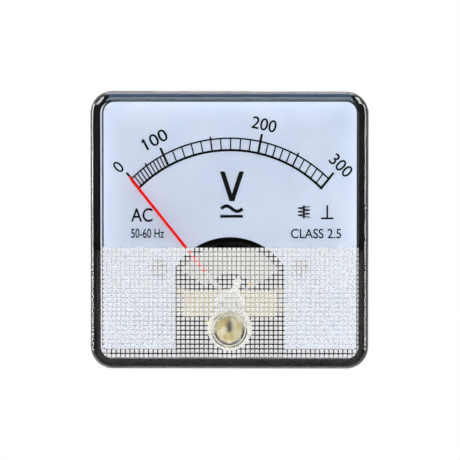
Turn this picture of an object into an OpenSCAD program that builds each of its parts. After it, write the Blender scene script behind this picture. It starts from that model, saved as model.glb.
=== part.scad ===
// Square panel voltmeter with a moving-iron movement and a clear snap-on front cover.
// Every piece is drawn in face coordinates: x to the right, y up, z towards the viewer,
// with z = 0 on the panel's surface and the barrel's axis at x = y = 0. It is then stood upright.

/* [Face] */
// Side of the square front
face_w = 60; // [56:0.5:72]
// Corner radius of the front's outline
face_corner_r = 4.8; // [3.6:0.1:8]
// Thickness of the case flange that lies on the panel
flange_t = 3; // [2.6:0.1:5]

/* [Front cover] */
// Thickness of the clear side walls
cover_wall = 2.2; // [1.4:0.1:2.6]
// Thickness of the clear window
window_t = 2; // [1.5:0.1:3]
// Rounding of the front edges
cover_edge_r = 2.2; // [0.6:0.1:2.4]
// Room between the movement and the window
window_room = 0.6; // [0.3:0.1:4]
// Height of the checkered field's upper edge, measured from the middle of the face
field_top = -3.7; // [-8:0.1:0]
// Spacing of the small pyramids in the checkered field
rib_pitch = 2; // [1.5:0.1:3]
// Height of the pyramids
rib_h = 0.4; // [0.2:0.05:0.8]
// Width of the flat grooves between the pyramids
rib_groove = 0.4; // [0.2:0.05:0.8]

/* [Case] */
// Diameter of the barrel that goes through the panel
barrel_d = 52; // [48:0.5:58]
// Depth of the barrel behind the panel
barrel_len = 34; // [30:0.5:60]
// Thickness of the barrel's wall
barrel_wall = 2; // [1.6:0.1:3]
// Thickness of the barrel's closed back
back_t = 2.5; // [2:0.1:4]
// Rounding of the barrel's rear edge
barrel_edge_r = 1; // [0.4:0.1:1.4]
// Thickness of the rim that centres the cover
rim_t = 1.2; // [0.8:0.1:1.8]

/* [Mounting studs] */
// Diameter of the studs
stud_d = 3; // [2.5:0.5:4]
// Spacing of the four studs, both ways
stud_spacing = 46; // [44:0.5:48]
// Length of a stud behind the panel's surface
stud_reach = 12; // [8:0.5:20]
// Width across the flats of the stud's head
stud_head_af = 5.5; // [5:0.1:6.5]
// Height of the stud's head
stud_head_h = 2; // [1.5:0.1:2.2]

/* [Terminals] */
// Diameter of the terminal bolts
terminal_d = 4; // [3:0.5:5]
// Spacing of the two terminals
terminal_spacing = 22; // [18:0.5:26]
// Height of the terminals above the barrel's axis
terminal_up = 7; // [5:0.5:10]
// Length of a terminal bolt behind the case
terminal_reach = 13; // [11:0.5:20]
// Width across the flats of the nuts and bolt heads
terminal_nut_af = 7; // [7:0.1:8]
// Height of a nut
terminal_nut_h = 3.2; // [2.2:0.1:3.4]
// Diameter of the washers
terminal_washer_d = 9; // [8:0.1:10]
// Thickness of the flat washers and of the solder tags
terminal_washer_t = 0.8; // [0.5:0.1:1]
// Thickness of the spring washers
spring_washer_t = 1; // [0.6:0.1:1.2]

/* [Dial] */
// Thickness of the dial plate
dial_t = 0.6; // [0.4:0.1:1]
// Height of the dial's back above the flange
dial_rise = 1.6; // [1.2:0.1:3]
// Gap around the dial inside the cover
dial_gap = 0.2; // [0.2:0.1:1]
// Extra gap below the dial
dial_foot_gap = 1.2; // [1:0.1:3]
// Radius of the arch above the movement
arch_r = 14.2; // [13.6:0.1:16]
// Width of the opening below the arch
arch_w = 23.8; // [21.4:0.1:26]
// Distance of a dial screw from the middle of the face
dial_screw_x = 15.4; // [14:0.1:18]
// Height of the dial screws above the pivot
dial_screw_up = 7.8; // [6:0.1:9]

/* [Scale] */
// Height of the scale arcs' centre above the pivot
scale_up = 5.2; // [0:0.1:7]
// Radius of the inner arc
scale_in_r = 28; // [24:0.1:29]
// Distance between the two arcs
scale_band = 2.6; // [2:0.1:4]
// Volts between two division lines
division = 10; // [5:5:20]
// Thickness of the printed ink
ink_t = 0.05; // [0.03:0.01:0.1]

/* [Pointer] */
// Length of the pointer from the pivot to its tip
pointer_len = 35.2; // [30:0.1:37]
// Width of the pointer
pointer_w = 0.6; // [0.5:0.1:1.4]
// Thickness of the pointer
pointer_t = 0.4; // [0.3:0.05:0.6]
// Gap between the dial and the pointer
pointer_lift = 1.7; // [1.5:0.1:3]
// Angle between the pointer at zero and the vertical
zero_angle = 38.6; // [34:0.2:42]
// Length of the tail weight that balances the pointer
tail_weight_len = 3.4; // [2:0.1:4.5]
// Diameter of the tail weight
tail_weight_d = 2; // [1.4:0.1:2.4]

/* [Movement] */
// Outer diameter of the coil's bobbin
bobbin_d = 15; // [14:0.1:17]
// Length of the bobbin
bobbin_len = 11; // [8:0.5:16]
// Room between the bobbin and the barrel
bobbin_room = 0.4; // [0.4:0.1:2]
// Inner diameter of the movement frame's sleeve
sleeve_bore_d = 8.8; // [8.4:0.1:9.2]
// Thickness of the movement frame's front plate
frame_t = 1.5; // [1.2:0.1:2.5]
// Depth of the damping chamber
damper_depth = 3.5; // [3:0.1:5]
// Thickness of the damping chamber's lid
lid_t = 0.35; // [0.3:0.05:0.6]
// Thickness of the brass bridge
bridge_t = 1; // [0.8:0.1:1.4]
// Width of the brass bridge
bridge_w = 5.6; // [4.6:0.1:6.4]
// Span of the brass bridge over its legs
bridge_span = 20; // [18:0.1:20.6]
// Diameter of the spindle
spindle_d = 1; // [0.8:0.1:1.2]
// Diameter of the jewel screws
jewel_screw_d = 3; // [2.8:0.1:3.4]
// Height of the hairspring's strip
spring_h = 0.5; // [0.3:0.05:0.8]
// Number of turns of the hairspring
spring_turns = 4; // [3:1:6]

/* [Zero adjuster] */
// Distance of the zero screw below the pivot
zero_drop = 5.3; // [5.2:0.1:7]
// Diameter of the zero screw's head
zero_head_d = 5.8; // [5:0.1:6.4]
// Height of the zero screw's head
zero_head_h = 1.7; // [1.4:0.1:2.4]
// Width of the driver slot
zero_slot_w = 0.9; // [0.6:0.1:1.2]
// Diameter of the clear collar around the zero screw
collar_d = 7.8; // [7.4:0.1:9]
// Height of the collar in front of the window
collar_h = 0.8; // [0.4:0.1:1.2]
// Throw of the zero screw's eccentric pin
eccentric = 0.8; // [0.5:0.1:1]
// Thickness of the zero lever
lever_t = 0.8; // [0.6:0.1:1.2]

/* [Hidden] */

$fn = 96;

// Clearances
seat_gap = 0.05; // between parts assembled by hand
run_gap = 0.05; // around a turning shaft
thread_gap = 0.03; // around a screw in its thread
free_gap = 0.5; // between moving parts
cut = 1; // overshoot of a cutting shape
slim_gap = 0.1; // between flat parts that must not rub
hole_spare = 1; // depth of a screw hole past its screw

// Layout across the face
bore_r = barrel_d / 2 - barrel_wall;
pivot_y = -(bore_r - bobbin_d / 2 - bobbin_room);
zero_y = pivot_y - zero_drop;
cavity_w = face_w - 2 * cover_wall;
cavity_r = max(face_corner_r - cover_wall, 0.6);
dial_w = cavity_w - 2 * dial_gap;
dial_r = max(cavity_r - dial_gap, 0.4);
rim_w = cavity_w - 2 * seat_gap;
rim_r = max(cavity_r - seat_gap, 0.5);
stud_shoulder_d = stud_d + 0.6; // where the stud passes through the flange
stud_places = [for (sx = [-1, 1], sy = [-1, 1]) [sx, sy] * stud_spacing / 2];
terminal_places = [for (s = [-1, 1]) [s * terminal_spacing / 2, terminal_up]];
dial_screw_places = [for (s = [-1, 1]) [s * dial_screw_x, pivot_y + dial_screw_up]];

// Levels from the panel forwards
dial_z = flange_t + dial_rise;
dial_front = dial_z + dial_t;
arm_z = dial_front + pointer_lift;
arm_front = arm_z + pointer_t;
hub_rim = 0.4;
spring_gap = 0.2;
spring_z = max(arm_front + hub_rim, arm_z + (pointer_t + tail_weight_d) / 2) + spring_gap;
spring_front = spring_z + spring_h;
bridge_z = spring_front + free_gap;
bridge_front = bridge_z + bridge_t;
lever_z = bridge_front + slim_gap;
lever_front = lever_z + lever_t;
lock_nut_h = 0.8;
front_nut_z = lever_front + slim_gap;
movement_front = front_nut_z + lock_nut_h;
rib_floor = 0.1;
window_in = movement_front + window_room + rib_floor + rib_h;
cover_front = window_in + window_t;

// Levels from the dial backwards
lid_gap = 0.25;
lid_z = dial_z - lid_gap - lid_t;
frame_front = lid_z - damper_depth;
frame_back = frame_front - frame_t;
bobbin_back = frame_back - bobbin_len;
sleeve_end_t = 1.2;
sleeve_back = bobbin_back - sleeve_end_t;
jewel_boss_len = 3;
jewel_boss_back = sleeve_back - jewel_boss_len;
jewel_boss_wall = 1.2;
back_in = back_t - barrel_len;

// Movement
sleeve_wall = 0.6;
sleeve_r = sleeve_bore_d / 2 + sleeve_wall;
bobbin_flange = 0.8;
bobbin_tube = 0.6; // wall of the bobbin's tube
winding_inset = 0.6; // below the rim of the flanges
sheet_t = 0.4; // iron vanes
fixed_vane_from = 150; // where the fixed vane starts, counterclockwise from x
fixed_vane_span = 100;
moving_vane_span = 70;
vane_gap = 0.5; // between the two iron vanes
vane_inset = 0.8; // of the moving vane from the bobbin's flanges
web_h = 2;
overlap = 0.2; // how far joined shapes reach into each other
arch_gap = 0.2; // between the dial's arch and the frame's disc
frame_r = arch_r - arch_gap;
frame_gap = 0.3; // to the barrel
chamber_wall = 0.8;
chamber_in_r = 7;
chamber_out_r = 12.2;
vane_spare = 14.5; // room beside the damping vane at each end of its sweep, in degrees
chamber_half = zero_angle + vane_spare;
chamber_end = 4; // end wall, in degrees
arm_slot_h = 0.7; // slot for the damping vane's arm under the lid
arm_slot_half = chamber_half + 1;
boss_angle = 35; // case bosses, in degrees below the horizontal
boss_d = 5.2;
boss_inset = 2.2;
boss_places = [
    for (s = [-1, 1]) [s * cos(boss_angle), -sin(boss_angle)] * (bore_r - boss_inset)
];
dial_post_d = 4;
link_w = 4.6;

// Small screws: shank, head and head height
small_screw_d = 1.8;
small_head_d = 3.4;
small_head_h = 1.1;
small_screw_len = 5;
driver_slot_w = 0.5;
driver_slot_depth = 0.5;

// Bridge
foot_len = 4;
bridge_screw_x = (bridge_span + foot_len) / 2;

// Jewels and spindle
jewel_d = 1.8;
jewel_h = 0.8;
cup_r = 0.5;
cup_tip_r = 0.1;
cup_depth = 0.55;
tip_len = 0.6;
tip_r = 0.06;
tip_into_cup = 0.4;
front_cup_z = spring_front + slim_gap;
rear_cup_z = sleeve_back + free_gap;
spindle_front = front_cup_z + tip_into_cup;
spindle_back = rear_cup_z - tip_into_cup;

// Moving element
hub_d = 2.8;
ring_r = spindle_d / 2 + 0.5; // rings pressed on the spindle
arm_d = 0.6;
balance_arm_len = 7;
arm_past_weight = 0.4;
side_weight_d = 1.5;
side_weight_len = 1.4;
spring_out_r = 4.6;
spring_t = 0.1;
anchor_angle = 70; // hairspring's anchor, counterclockwise from x
anchor_d = 0.9;

// Zero adjuster
zero_shoulder = 0.95; // of the head around the shank
zero_shank_d = zero_head_d - 2 * zero_shoulder;
zero_seat_t = 0.9;
zero_seat_z = window_in + zero_seat_t;
zero_lip = 0.3; // of the snap-in lip around the shank
zero_lip_d = zero_shank_d + 2 * zero_lip;
zero_lip_t = 0.6;
zero_lip_front = window_in - seat_gap;
zero_pin_d = 1;
zero_pin_past = 0.3; // behind the lever
zero_pin_back = lever_z - zero_pin_past;
collar_margin = 0.5; // plain window around the collar
zero_clear_d = collar_d + 2 * collar_margin;
slot_gap = 0.15; // beside the pin in the zero lever's slot
slot_end_gap = 0.3; // between the pin and the slot's ends
lever_plate_past = 0.4; // of the plate around the plain window, which it fills
lever_plate_room = 2 * (cavity_w / 2 + zero_y - free_gap); // down to the cover's lower wall
lever_plate_d = min(zero_clear_d + 2 * lever_plate_past, lever_plate_room);
anchor_arm_w = 1.6;
lever_ring_wall = 1.7;
lever_ring_d = jewel_screw_d + 2 * lever_ring_wall;
zero_slot_depth = 1;

// Circuit
tag_t = terminal_washer_t;
tag_w = 3;
tag_len = 8;
tag_rise = 3;
resistor_d = 4.6;
resistor_cap_d = 5.2;
resistor_cap_len = 2.6;
resistor_len = 14;
resistor_x = -3;
resistor_y = -4;
resistor_rise = 6; // above the case's back
resistor_z = back_in + resistor_rise;
bare_lead_r = 0.35;
wire_r = 0.5;
lead_bend = 3; // stiffness of the bends, as the distance between control points
wire_bend = 6;
wire_exit_inset = 1.2; // below the bobbin's rim
wire_exit_x = [-1, 4];
bare_lead_len = 3;
tag_joint_rise = 2.2; // above the case's back
tag_joint_z = back_in + tag_joint_rise;
tag_joint_y = terminal_up - tag_len;

// Terminal stack behind the case
clamp_back = -barrel_len - terminal_nut_h;
washer_back = clamp_back - terminal_washer_t;
spring_washer_back = washer_back - spring_washer_t;
spring_washer_turn = 345; // degrees, the rest is its gap

// Scale law: volts and degrees of swing from zero
scale_out_r = scale_in_r + scale_band;
full_scale = 300;
scale_law = [[0, 0], [100, 14.3], [200, 49.3], [full_scale, 2 * zero_angle]];
minor_line = 0.28;
middle_line = 0.34;
major_line = 0.5;
inner_line = 0.5;
outer_line = 0.34;
middle_past = 0.65; // how far the longer lines stand past the outer arc
major_past = 1.7;

module upright() rotate([90, 0, 0]) children();
module at_pivot(z = 0) translate([0, pivot_y, z]) children();
module at_places(places, z = 0) for (p = places) translate([p[0], p[1], z]) children();

// Square with rounded corners, flat
module round_square(w, r) {
    square([w, w - 2 * r], center = true);
    square([w - 2 * r, w], center = true);
    for (sx = [-1, 1], sy = [-1, 1])
        translate([sx, sy] * (w / 2 - r)) circle(r = r);
}

// Bar between two points with round ends a little wider than the bar, flat
module link(a, b, w) {
    d = b - a;
    bar_w = w - slim_gap;
    for (p = [a, b]) translate(p) circle(d = w);
    translate(a) rotate(atan2(d[1], d[0])) translate([0, -bar_w / 2]) square([norm(d), bar_w]);
}

// Wedge of a given half angle about the vertical, flat
module wedge(half_angle, r) {
    reach = 3 * r;
    polygon([[0, 0], [reach * sin(half_angle), reach * cos(half_angle)],
        [0, 2 * reach], [-reach * sin(half_angle), reach * cos(half_angle)]]);
}

// Part of a flat ring about the vertical
module ring_sector(r_in, r_out, half_angle) {
    intersection() {
        difference() {
            circle(r = r_out);
            circle(r = r_in);
        }
        wedge(half_angle, r_out);
    }
}

// Hexagonal prism by its width across flats
module hexagon(af, h) cylinder(d = af / cos(30), h = h, $fn = 6);

module hex_nut(af, h, bore_d) {
    difference() {
        hexagon(af, h);
        translate([0, 0, -cut]) cylinder(d = bore_d, h = h + 2 * cut);
    }
}

// Slotted screw: the underside of its head is at z = 0
module slotted_screw(shank_d, head_d, head_h, len) {
    difference() {
        union() {
            cylinder(d = head_d, h = head_h);
            translate([0, 0, -len]) cylinder(d = shank_d, h = len + head_h / 2);
        }
        translate([-head_d, -driver_slot_w / 2, head_h - driver_slot_depth])
            cube([2 * head_d, driver_slot_w, head_h]);
    }
}

module small_screws(places, z) {
    at_places(places, z) slotted_screw(small_screw_d, small_head_d, small_head_h, small_screw_len);
}

// Round wire along a cubic curve with four control points
module wire(p, r, rings = 14, sides = 8) {
    steps = [for (i = [0:rings]) i / rings];
    path = [for (t = steps) pow(1 - t, 3) * p[0] + 3 * pow(1 - t, 2) * t * p[1]
        + 3 * (1 - t) * t * t * p[2] + pow(t, 3) * p[3]];
    along = [for (t = steps) pow(1 - t, 2) * (p[1] - p[0]) + 2 * (1 - t) * t * (p[2] - p[1])
        + t * t * (p[3] - p[2])];
    points = [for (i = [0:rings]) let (
            n = along[i] / norm(along[i]),
            u = cross(n, [0.36, 0.48, 0.8]),
            v = cross(n, u / norm(u)))
        for (k = [0:sides - 1]) path[i]
            + r * (cos(360 * k / sides) * u / norm(u) + sin(360 * k / sides) * v)];
    skin = [for (i = [0:rings - 1], k = [0:sides - 1]) let (
            n = (k + 1) % sides,
            near = i * sides,
            far = near + sides)
        each [[near + k, far + k, far + n], [near + k, far + n, near + n]]];
    ends = [[for (k = [0:sides - 1]) k], [for (k = [sides - 1:-1:0]) rings * sides + k]];
    polyhedron(points, concat(skin, ends));
}

// Section of the cover's rounded front edge, measured outwards from a corner's axis
module edge_section(depth) {
    square([face_corner_r, depth - cover_edge_r]);
    square([face_corner_r - cover_edge_r, depth]);
    translate([face_corner_r - cover_edge_r, depth - cover_edge_r]) circle(r = cover_edge_r);
}

// Outside of the cover: four quarter-round corners joined by straight edges
module cover_block(depth) {
    straight = face_w - 2 * face_corner_r;
    translate([-straight / 2, -straight / 2, 0]) cube([straight, straight, depth]);
    for (turn = [0:90:270]) rotate(turn) translate([straight / 2, straight / 2, 0]) {
        rotate_extrude(angle = 90) edge_section(depth);
        rotate([90, 0, 0]) linear_extrude(straight) edge_section(depth);
    }
}

// Saw-tooth section of the checkered field, with n teeth on a back of a given thickness
function teeth(n, back) = concat(
    [[0, -back], [0, rib_floor]],
    [for (i = [0:n - 1]) each [
        [i * rib_pitch + rib_groove / 2, rib_floor],
        [(i + 0.5) * rib_pitch, rib_floor + rib_h],
        [(i + 1) * rib_pitch - rib_groove / 2, rib_floor]]],
    [[n * rib_pitch, rib_floor], [n * rib_pitch, -back]]);

// Pyramids on the inside of the window, where two saw-tooth sections cross
module checkered_field() {
    margin = 0.2;
    columns = floor((cavity_w - 2 * margin) / rib_pitch);
    rows = floor((cavity_w / 2 - margin + field_top) / rib_pitch);
    w = columns * rib_pitch;
    h = rows * rib_pitch;
    intersection() {
        difference() {
            translate([-w / 2, field_top - h, window_in]) rotate([-90, 0, 0])
                linear_extrude(h) polygon(teeth(columns, 0));
            translate([0, zero_y, window_in - rib_floor - rib_h - cut])
                cylinder(d = zero_clear_d, h = rib_floor + rib_h + 2 * cut);
        }
        translate([-w / 2, field_top, window_in]) rotate([0, 180, 0]) rotate([90, 0, -90])
            linear_extrude(w) polygon(teeth(rows, window_t / 4));
    }
}

// Clear moulded cover: walls, window, checkered field and the collar of the zero screw
module front_cover() {
    color([0.86, 0.92, 0.95, 0.4]) upright() {
        difference() {
            union() {
                translate([0, 0, flange_t]) cover_block(cover_front - flange_t);
                translate([0, zero_y, window_in + window_t / 2])
                    cylinder(d = collar_d, h = window_t / 2 + collar_h);
            }
            translate([0, 0, flange_t - cut])
                linear_extrude(window_in - flange_t + cut) round_square(cavity_w, cavity_r);
            translate([0, zero_y, window_in - cut])
                cylinder(d = zero_shank_d + 2 * run_gap, h = window_t + collar_h + 2 * cut);
            translate([0, zero_y, zero_seat_z])
                cylinder(d = zero_head_d + 2 * run_gap, h = window_t + collar_h + cut);
        }
        checkered_field();
    }
}

// Slotted zero screw with a retaining lip and an eccentric pin
module zero_screw() {
    head_z = zero_seat_z + seat_gap;
    lip_back = zero_lip_front - zero_lip_t;
    color([0.93, 0.9, 0.8]) upright() translate([0, zero_y, 0]) difference() {
        union() {
            translate([0, 0, head_z]) cylinder(d = zero_head_d, h = zero_head_h);
            translate([0, 0, lip_back])
                cylinder(d = zero_shank_d, h = head_z - lip_back + zero_head_h / 2);
            translate([0, 0, lip_back]) cylinder(d = zero_lip_d, h = zero_lip_t);
            translate([0, eccentric, zero_pin_back])
                cylinder(d = zero_pin_d, h = lip_back - zero_pin_back + zero_lip_t / 2);
        }
        translate([-zero_slot_w / 2, -zero_head_d, head_z + zero_head_h - zero_slot_depth])
            cube([zero_slot_w, 2 * zero_head_d, zero_head_h]);
    }
}

// Section of the barrel's wall, closed back and rounded rear edge
module barrel_section() {
    r = barrel_d / 2;
    difference() {
        union() {
            translate([0, -barrel_len + barrel_edge_r])
                square([r, barrel_len - barrel_edge_r + flange_t / 2]);
            translate([0, -barrel_len]) square([r - barrel_edge_r, barrel_edge_r + cut]);
            translate([r - barrel_edge_r, -barrel_len + barrel_edge_r]) circle(r = barrel_edge_r);
        }
        translate([-cut, back_in]) square([bore_r + cut, barrel_len + flange_t]);
    }
}

// Black moulded case: flange, rim, barrel, closed back and two bosses for the movement
module rear_case() {
    screw_depth = small_screw_len + hole_spare;
    color([0.09, 0.09, 0.1]) upright() difference() {
        union() {
            linear_extrude(flange_t) difference() {
                round_square(face_w, face_corner_r);
                circle(r = bore_r);
            }
            translate([0, 0, flange_t / 2]) linear_extrude(dial_z - flange_t / 2) difference() {
                round_square(rim_w, rim_r);
                round_square(rim_w - 2 * rim_t, max(rim_r - rim_t, 0.4));
            }
            rotate_extrude() barrel_section();
            at_places(boss_places, back_in - back_t / 2)
                cylinder(d = boss_d, h = frame_back - back_in + back_t / 2);
        }
        at_places(boss_places, frame_back - screw_depth)
            cylinder(d = small_screw_d + 2 * thread_gap, h = screw_depth + cut);
        at_places(stud_places, -cut)
            cylinder(d = stud_shoulder_d + 2 * seat_gap, h = flange_t + 2 * cut);
        at_places(stud_places, flange_t - stud_head_h)
            hexagon(stud_head_af + 2 * seat_gap, stud_head_h + dial_rise + cut);
        at_places(terminal_places, -barrel_len - cut)
            cylinder(d = terminal_d + 2 * seat_gap, h = back_t + 2 * cut);
    }
}

// Four hexagon-headed studs, their heads sunk in the front of the flange
module mounting_studs() {
    color([0.75, 0.75, 0.76]) upright() at_places(stud_places) {
        translate([0, 0, flange_t - stud_head_h]) hexagon(stud_head_af, stud_head_h);
        cylinder(d = stud_shoulder_d, h = flange_t - stud_head_h / 2);
        translate([0, 0, -stud_reach]) cylinder(d = stud_d, h = stud_reach + flange_t / 2);
    }
}

// Pale sheet-metal dial with an arched opening over the movement
module dial_plate() {
    foot = -dial_w / 2 + dial_foot_gap;
    color([0.82, 0.87, 0.95]) upright() translate([0, 0, dial_z]) linear_extrude(dial_t)
        difference() {
            intersection() {
                round_square(dial_w, dial_r);
                translate([-dial_w, foot]) square(2 * dial_w);
            }
            intersection() {
                union() {
                    translate([0, pivot_y]) circle(r = arch_r);
                    translate([-arch_w / 2, pivot_y - dial_w]) square([arch_w, dial_w]);
                }
                translate([-arch_w / 2, -2 * dial_w]) square([arch_w, 4 * dial_w]);
            }
            at_places(dial_screw_places) circle(d = small_screw_d + 2 * seat_gap);
        }
}

// Distance from the pivot to an arc of the scale, in a direction from the vertical
function scale_reach(a, r) = scale_up * cos(a) + sqrt(r * r - pow(scale_up * sin(a), 2));
// Direction of that place as seen from the arcs' own centre
function arc_angle(a, r) =
    atan2(scale_reach(a, r) * sin(a), scale_reach(a, r) * cos(a) - scale_up);
// Direction of a reading, clockwise from the vertical
function reading_angle(volts) = lookup(volts, scale_law) - zero_angle;

// One printed line of the scale, from the inner arc outwards
module scale_line(volts) {
    major = volts % 100 == 0;
    middle = volts % 50 == 0;
    w = major ? major_line : middle ? middle_line : minor_line;
    past = major ? major_past : middle ? middle_past : 0;
    a = reading_angle(volts);
    from = scale_reach(a, scale_in_r - inner_line / 2);
    to = scale_reach(a, scale_out_r) + past;
    rotate(-a) translate([-w / 2, from]) square([w, to - from]);
}

// Printed scale: two arcs and the division lines between them
module scale_print() {
    color([0.05, 0.05, 0.05]) upright() at_pivot(dial_front) linear_extrude(ink_t) {
        translate([0, scale_up]) {
            ring_sector(scale_in_r - inner_line / 2, scale_in_r + inner_line / 2,
                arc_angle(zero_angle, scale_in_r));
            ring_sector(scale_out_r - outer_line / 2, scale_out_r + outer_line / 2,
                arc_angle(zero_angle, scale_out_r));
        }
        for (volts = [0:division:full_scale]) scale_line(volts);
    }
}

module dial_screws() {
    color([0.72, 0.72, 0.72]) upright() small_screws(dial_screw_places, dial_front);
}

// Outline of the movement frame's plate: a disc with arms to the bosses and the dial posts
module frame_outline() {
    intersection() {
        union() {
            translate([0, pivot_y]) circle(r = frame_r);
            for (p = boss_places) link([0, pivot_y], p, link_w);
            for (p = dial_screw_places) link([0, pivot_y], p, link_w);
        }
        circle(r = bore_r - frame_gap);
    }
}

// Black moulded movement frame: plate, coil sleeve, rear bearing boss, damping chamber, dial posts
module movement_frame() {
    screw_hole_d = small_screw_d + 2 * thread_gap;
    color([0.07, 0.07, 0.075]) upright() difference() {
        union() {
            translate([0, 0, frame_back]) linear_extrude(frame_t) frame_outline();
            at_pivot(sleeve_back) cylinder(r = sleeve_r, h = frame_back - sleeve_back + frame_t / 2);
            at_pivot(jewel_boss_back)
                cylinder(d = jewel_screw_d + 2 * jewel_boss_wall, h = jewel_boss_len + sleeve_end_t / 2);
            at_pivot(frame_front - frame_t / 2) linear_extrude(damper_depth + frame_t / 2)
                difference() {
                    ring_sector(chamber_in_r - chamber_wall, chamber_out_r + chamber_wall,
                        chamber_half + chamber_end);
                    ring_sector(chamber_in_r, chamber_out_r, chamber_half);
                }
            at_places(dial_screw_places, frame_back)
                cylinder(d = dial_post_d, h = dial_z - frame_back);
        }
        at_pivot(sleeve_back + sleeve_end_t)
            cylinder(d = sleeve_bore_d, h = frame_front - sleeve_back + cut);
        at_pivot(jewel_boss_back - cut)
            cylinder(d = jewel_screw_d + 2 * thread_gap, h = jewel_boss_len + sleeve_end_t + 2 * cut);
        at_pivot(lid_z - arm_slot_h) linear_extrude(arm_slot_h + cut)
            ring_sector(chamber_in_r - chamber_wall - cut, chamber_in_r + cut, arm_slot_half);
        at_places(dial_screw_places, dial_front - small_screw_len - seat_gap)
            cylinder(d = screw_hole_d, h = small_screw_len + cut);
        at_places(boss_places, frame_back - cut) cylinder(d = screw_hole_d, h = frame_t + 2 * cut);
        for (s = [-1, 1]) translate([s * bridge_screw_x, pivot_y, frame_back - cut])
            cylinder(d = screw_hole_d, h = frame_t + 2 * cut);
    }
}

module frame_screws() {
    color([0.72, 0.72, 0.72]) upright() small_screws(boss_places, frame_front);
}

// Bobbin that slides on the frame's sleeve from behind
module coil_bobbin() {
    tube_r = sleeve_r + seat_gap;
    color([0.85, 0.82, 0.72]) upright() at_pivot(bobbin_back) difference() {
        union() {
            for (z = [0, bobbin_len - bobbin_flange]) translate([0, 0, z])
                cylinder(d = bobbin_d, h = bobbin_flange);
            cylinder(r = tube_r + bobbin_tube, h = bobbin_len);
        }
        translate([0, 0, -cut]) cylinder(r = tube_r, h = bobbin_len + 2 * cut);
    }
}

// Copper winding between the bobbin's flanges
module coil_winding() {
    in_r = sleeve_r + bobbin_tube + 2 * seat_gap;
    out_r = bobbin_d / 2 - winding_inset;
    color([0.65, 0.32, 0.14]) upright() at_pivot(bobbin_back + bobbin_flange) difference() {
        cylinder(r = out_r, h = bobbin_len - 2 * bobbin_flange);
        translate([0, 0, -cut]) cylinder(r = in_r, h = bobbin_len + cut);
    }
}

// Fixed iron vane, a curved sheet inside the sleeve
module fixed_vane() {
    out_r = sleeve_bore_d / 2 - seat_gap;
    color([0.5, 0.5, 0.52]) upright() at_pivot(bobbin_back + bobbin_flange) rotate(fixed_vane_from)
        rotate_extrude(angle = fixed_vane_span) translate([out_r - sheet_t, 0])
            square([sheet_t, bobbin_len - 2 * bobbin_flange]);
}

// Aluminium lid of the damping chamber
module damper_lid() {
    color([0.62, 0.6, 0.56]) upright() at_pivot(lid_z) linear_extrude(lid_t)
        ring_sector(chamber_in_r - chamber_wall, chamber_out_r + chamber_wall / 2,
            chamber_half + chamber_end);
}

// Folded brass bridge that carries the front bearing
module bridge() {
    half = bridge_span / 2;
    color([0.8, 0.62, 0.28]) upright() at_pivot() difference() {
        translate([0, bridge_w / 2, 0]) rotate([90, 0, 0]) linear_extrude(bridge_w) {
            translate([-half, bridge_z]) square([bridge_span, bridge_t]);
            for (s = [-1, 1]) {
                translate([s * (half - bridge_t / 2) - bridge_t / 2, frame_front])
                    square([bridge_t, bridge_front - frame_front]);
                translate([s * (half + foot_len / 2 - bridge_t / 2) - foot_len / 2 - bridge_t / 2,
                    frame_front]) square([foot_len + bridge_t, bridge_t]);
            }
        }
        translate([0, 0, bridge_z - cut])
            cylinder(d = jewel_screw_d + 2 * thread_gap, h = bridge_t + 2 * cut);
        for (s = [-1, 1]) translate([s * bridge_screw_x, 0, frame_front - cut])
            cylinder(d = small_screw_d + 2 * seat_gap, h = bridge_t + 2 * cut);
    }
}

module bridge_screws() {
    places = [for (s = [-1, 1]) [s * bridge_screw_x, pivot_y]];
    color([0.72, 0.72, 0.72]) upright() small_screws(places, frame_front + bridge_t);
}

// Threaded bearing screw with a seat for its jewel at z = 0 and a driver slot at its far end
module jewel_screw(len) {
    difference() {
        cylinder(d = jewel_screw_d, h = len);
        translate([0, 0, -cut]) cylinder(d = jewel_d + 2 * thread_gap, h = jewel_h + cut);
        translate([-jewel_screw_d, -driver_slot_w / 2, len - driver_slot_depth])
            cube([2 * jewel_screw_d, driver_slot_w, len]);
    }
}

module front_jewel_screw() {
    color([0.85, 0.68, 0.33]) upright() at_pivot(front_cup_z)
        jewel_screw(movement_front - front_cup_z);
}

module rear_jewel_screw() {
    past_nut = 0.4;
    color([0.85, 0.68, 0.33]) upright() at_pivot(rear_cup_z) mirror([0, 0, 1])
        jewel_screw(rear_cup_z - jewel_boss_back + lock_nut_h + past_nut);
}

// Lock nuts of the two bearing screws
module jewel_lock_nuts() {
    bore_d = jewel_screw_d + 2 * thread_gap;
    af = jewel_screw_d + 2;
    color([0.85, 0.68, 0.33]) upright() at_pivot() {
        translate([0, 0, front_nut_z]) hex_nut(af, lock_nut_h, bore_d);
        translate([0, 0, jewel_boss_back - lock_nut_h]) hex_nut(af, lock_nut_h, bore_d);
    }
}

// Cup jewel with its mouth at z = 0
module jewel() {
    difference() {
        cylinder(d = jewel_d, h = jewel_h);
        cylinder(r1 = cup_r, r2 = cup_tip_r, h = cup_depth);
    }
}

module pivot_jewels() {
    color([0.75, 0.15, 0.25]) upright() at_pivot() {
        translate([0, 0, front_cup_z]) jewel();
        translate([0, 0, rear_cup_z]) mirror([0, 0, 1]) jewel();
    }
}

// Steel spindle with a ground point at each end
module spindle() {
    r = spindle_d / 2;
    shoulder_r = r * 0.6;
    color([0.78, 0.78, 0.8]) upright() at_pivot() rotate_extrude() polygon([
        [0, spindle_back], [tip_r, spindle_back], [shoulder_r, spindle_back + tip_len],
        [r, spindle_back + tip_len], [r, spindle_front - tip_len],
        [shoulder_r, spindle_front - tip_len], [tip_r, spindle_front], [0, spindle_front]]);
}

// Ring that is pressed on the spindle
module spindle_ring(r, z, h) {
    translate([0, 0, z]) difference() {
        cylinder(r = r, h = h);
        translate([0, 0, -cut]) cylinder(d = spindle_d + 2 * thread_gap, h = h + 2 * cut);
    }
}

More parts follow.
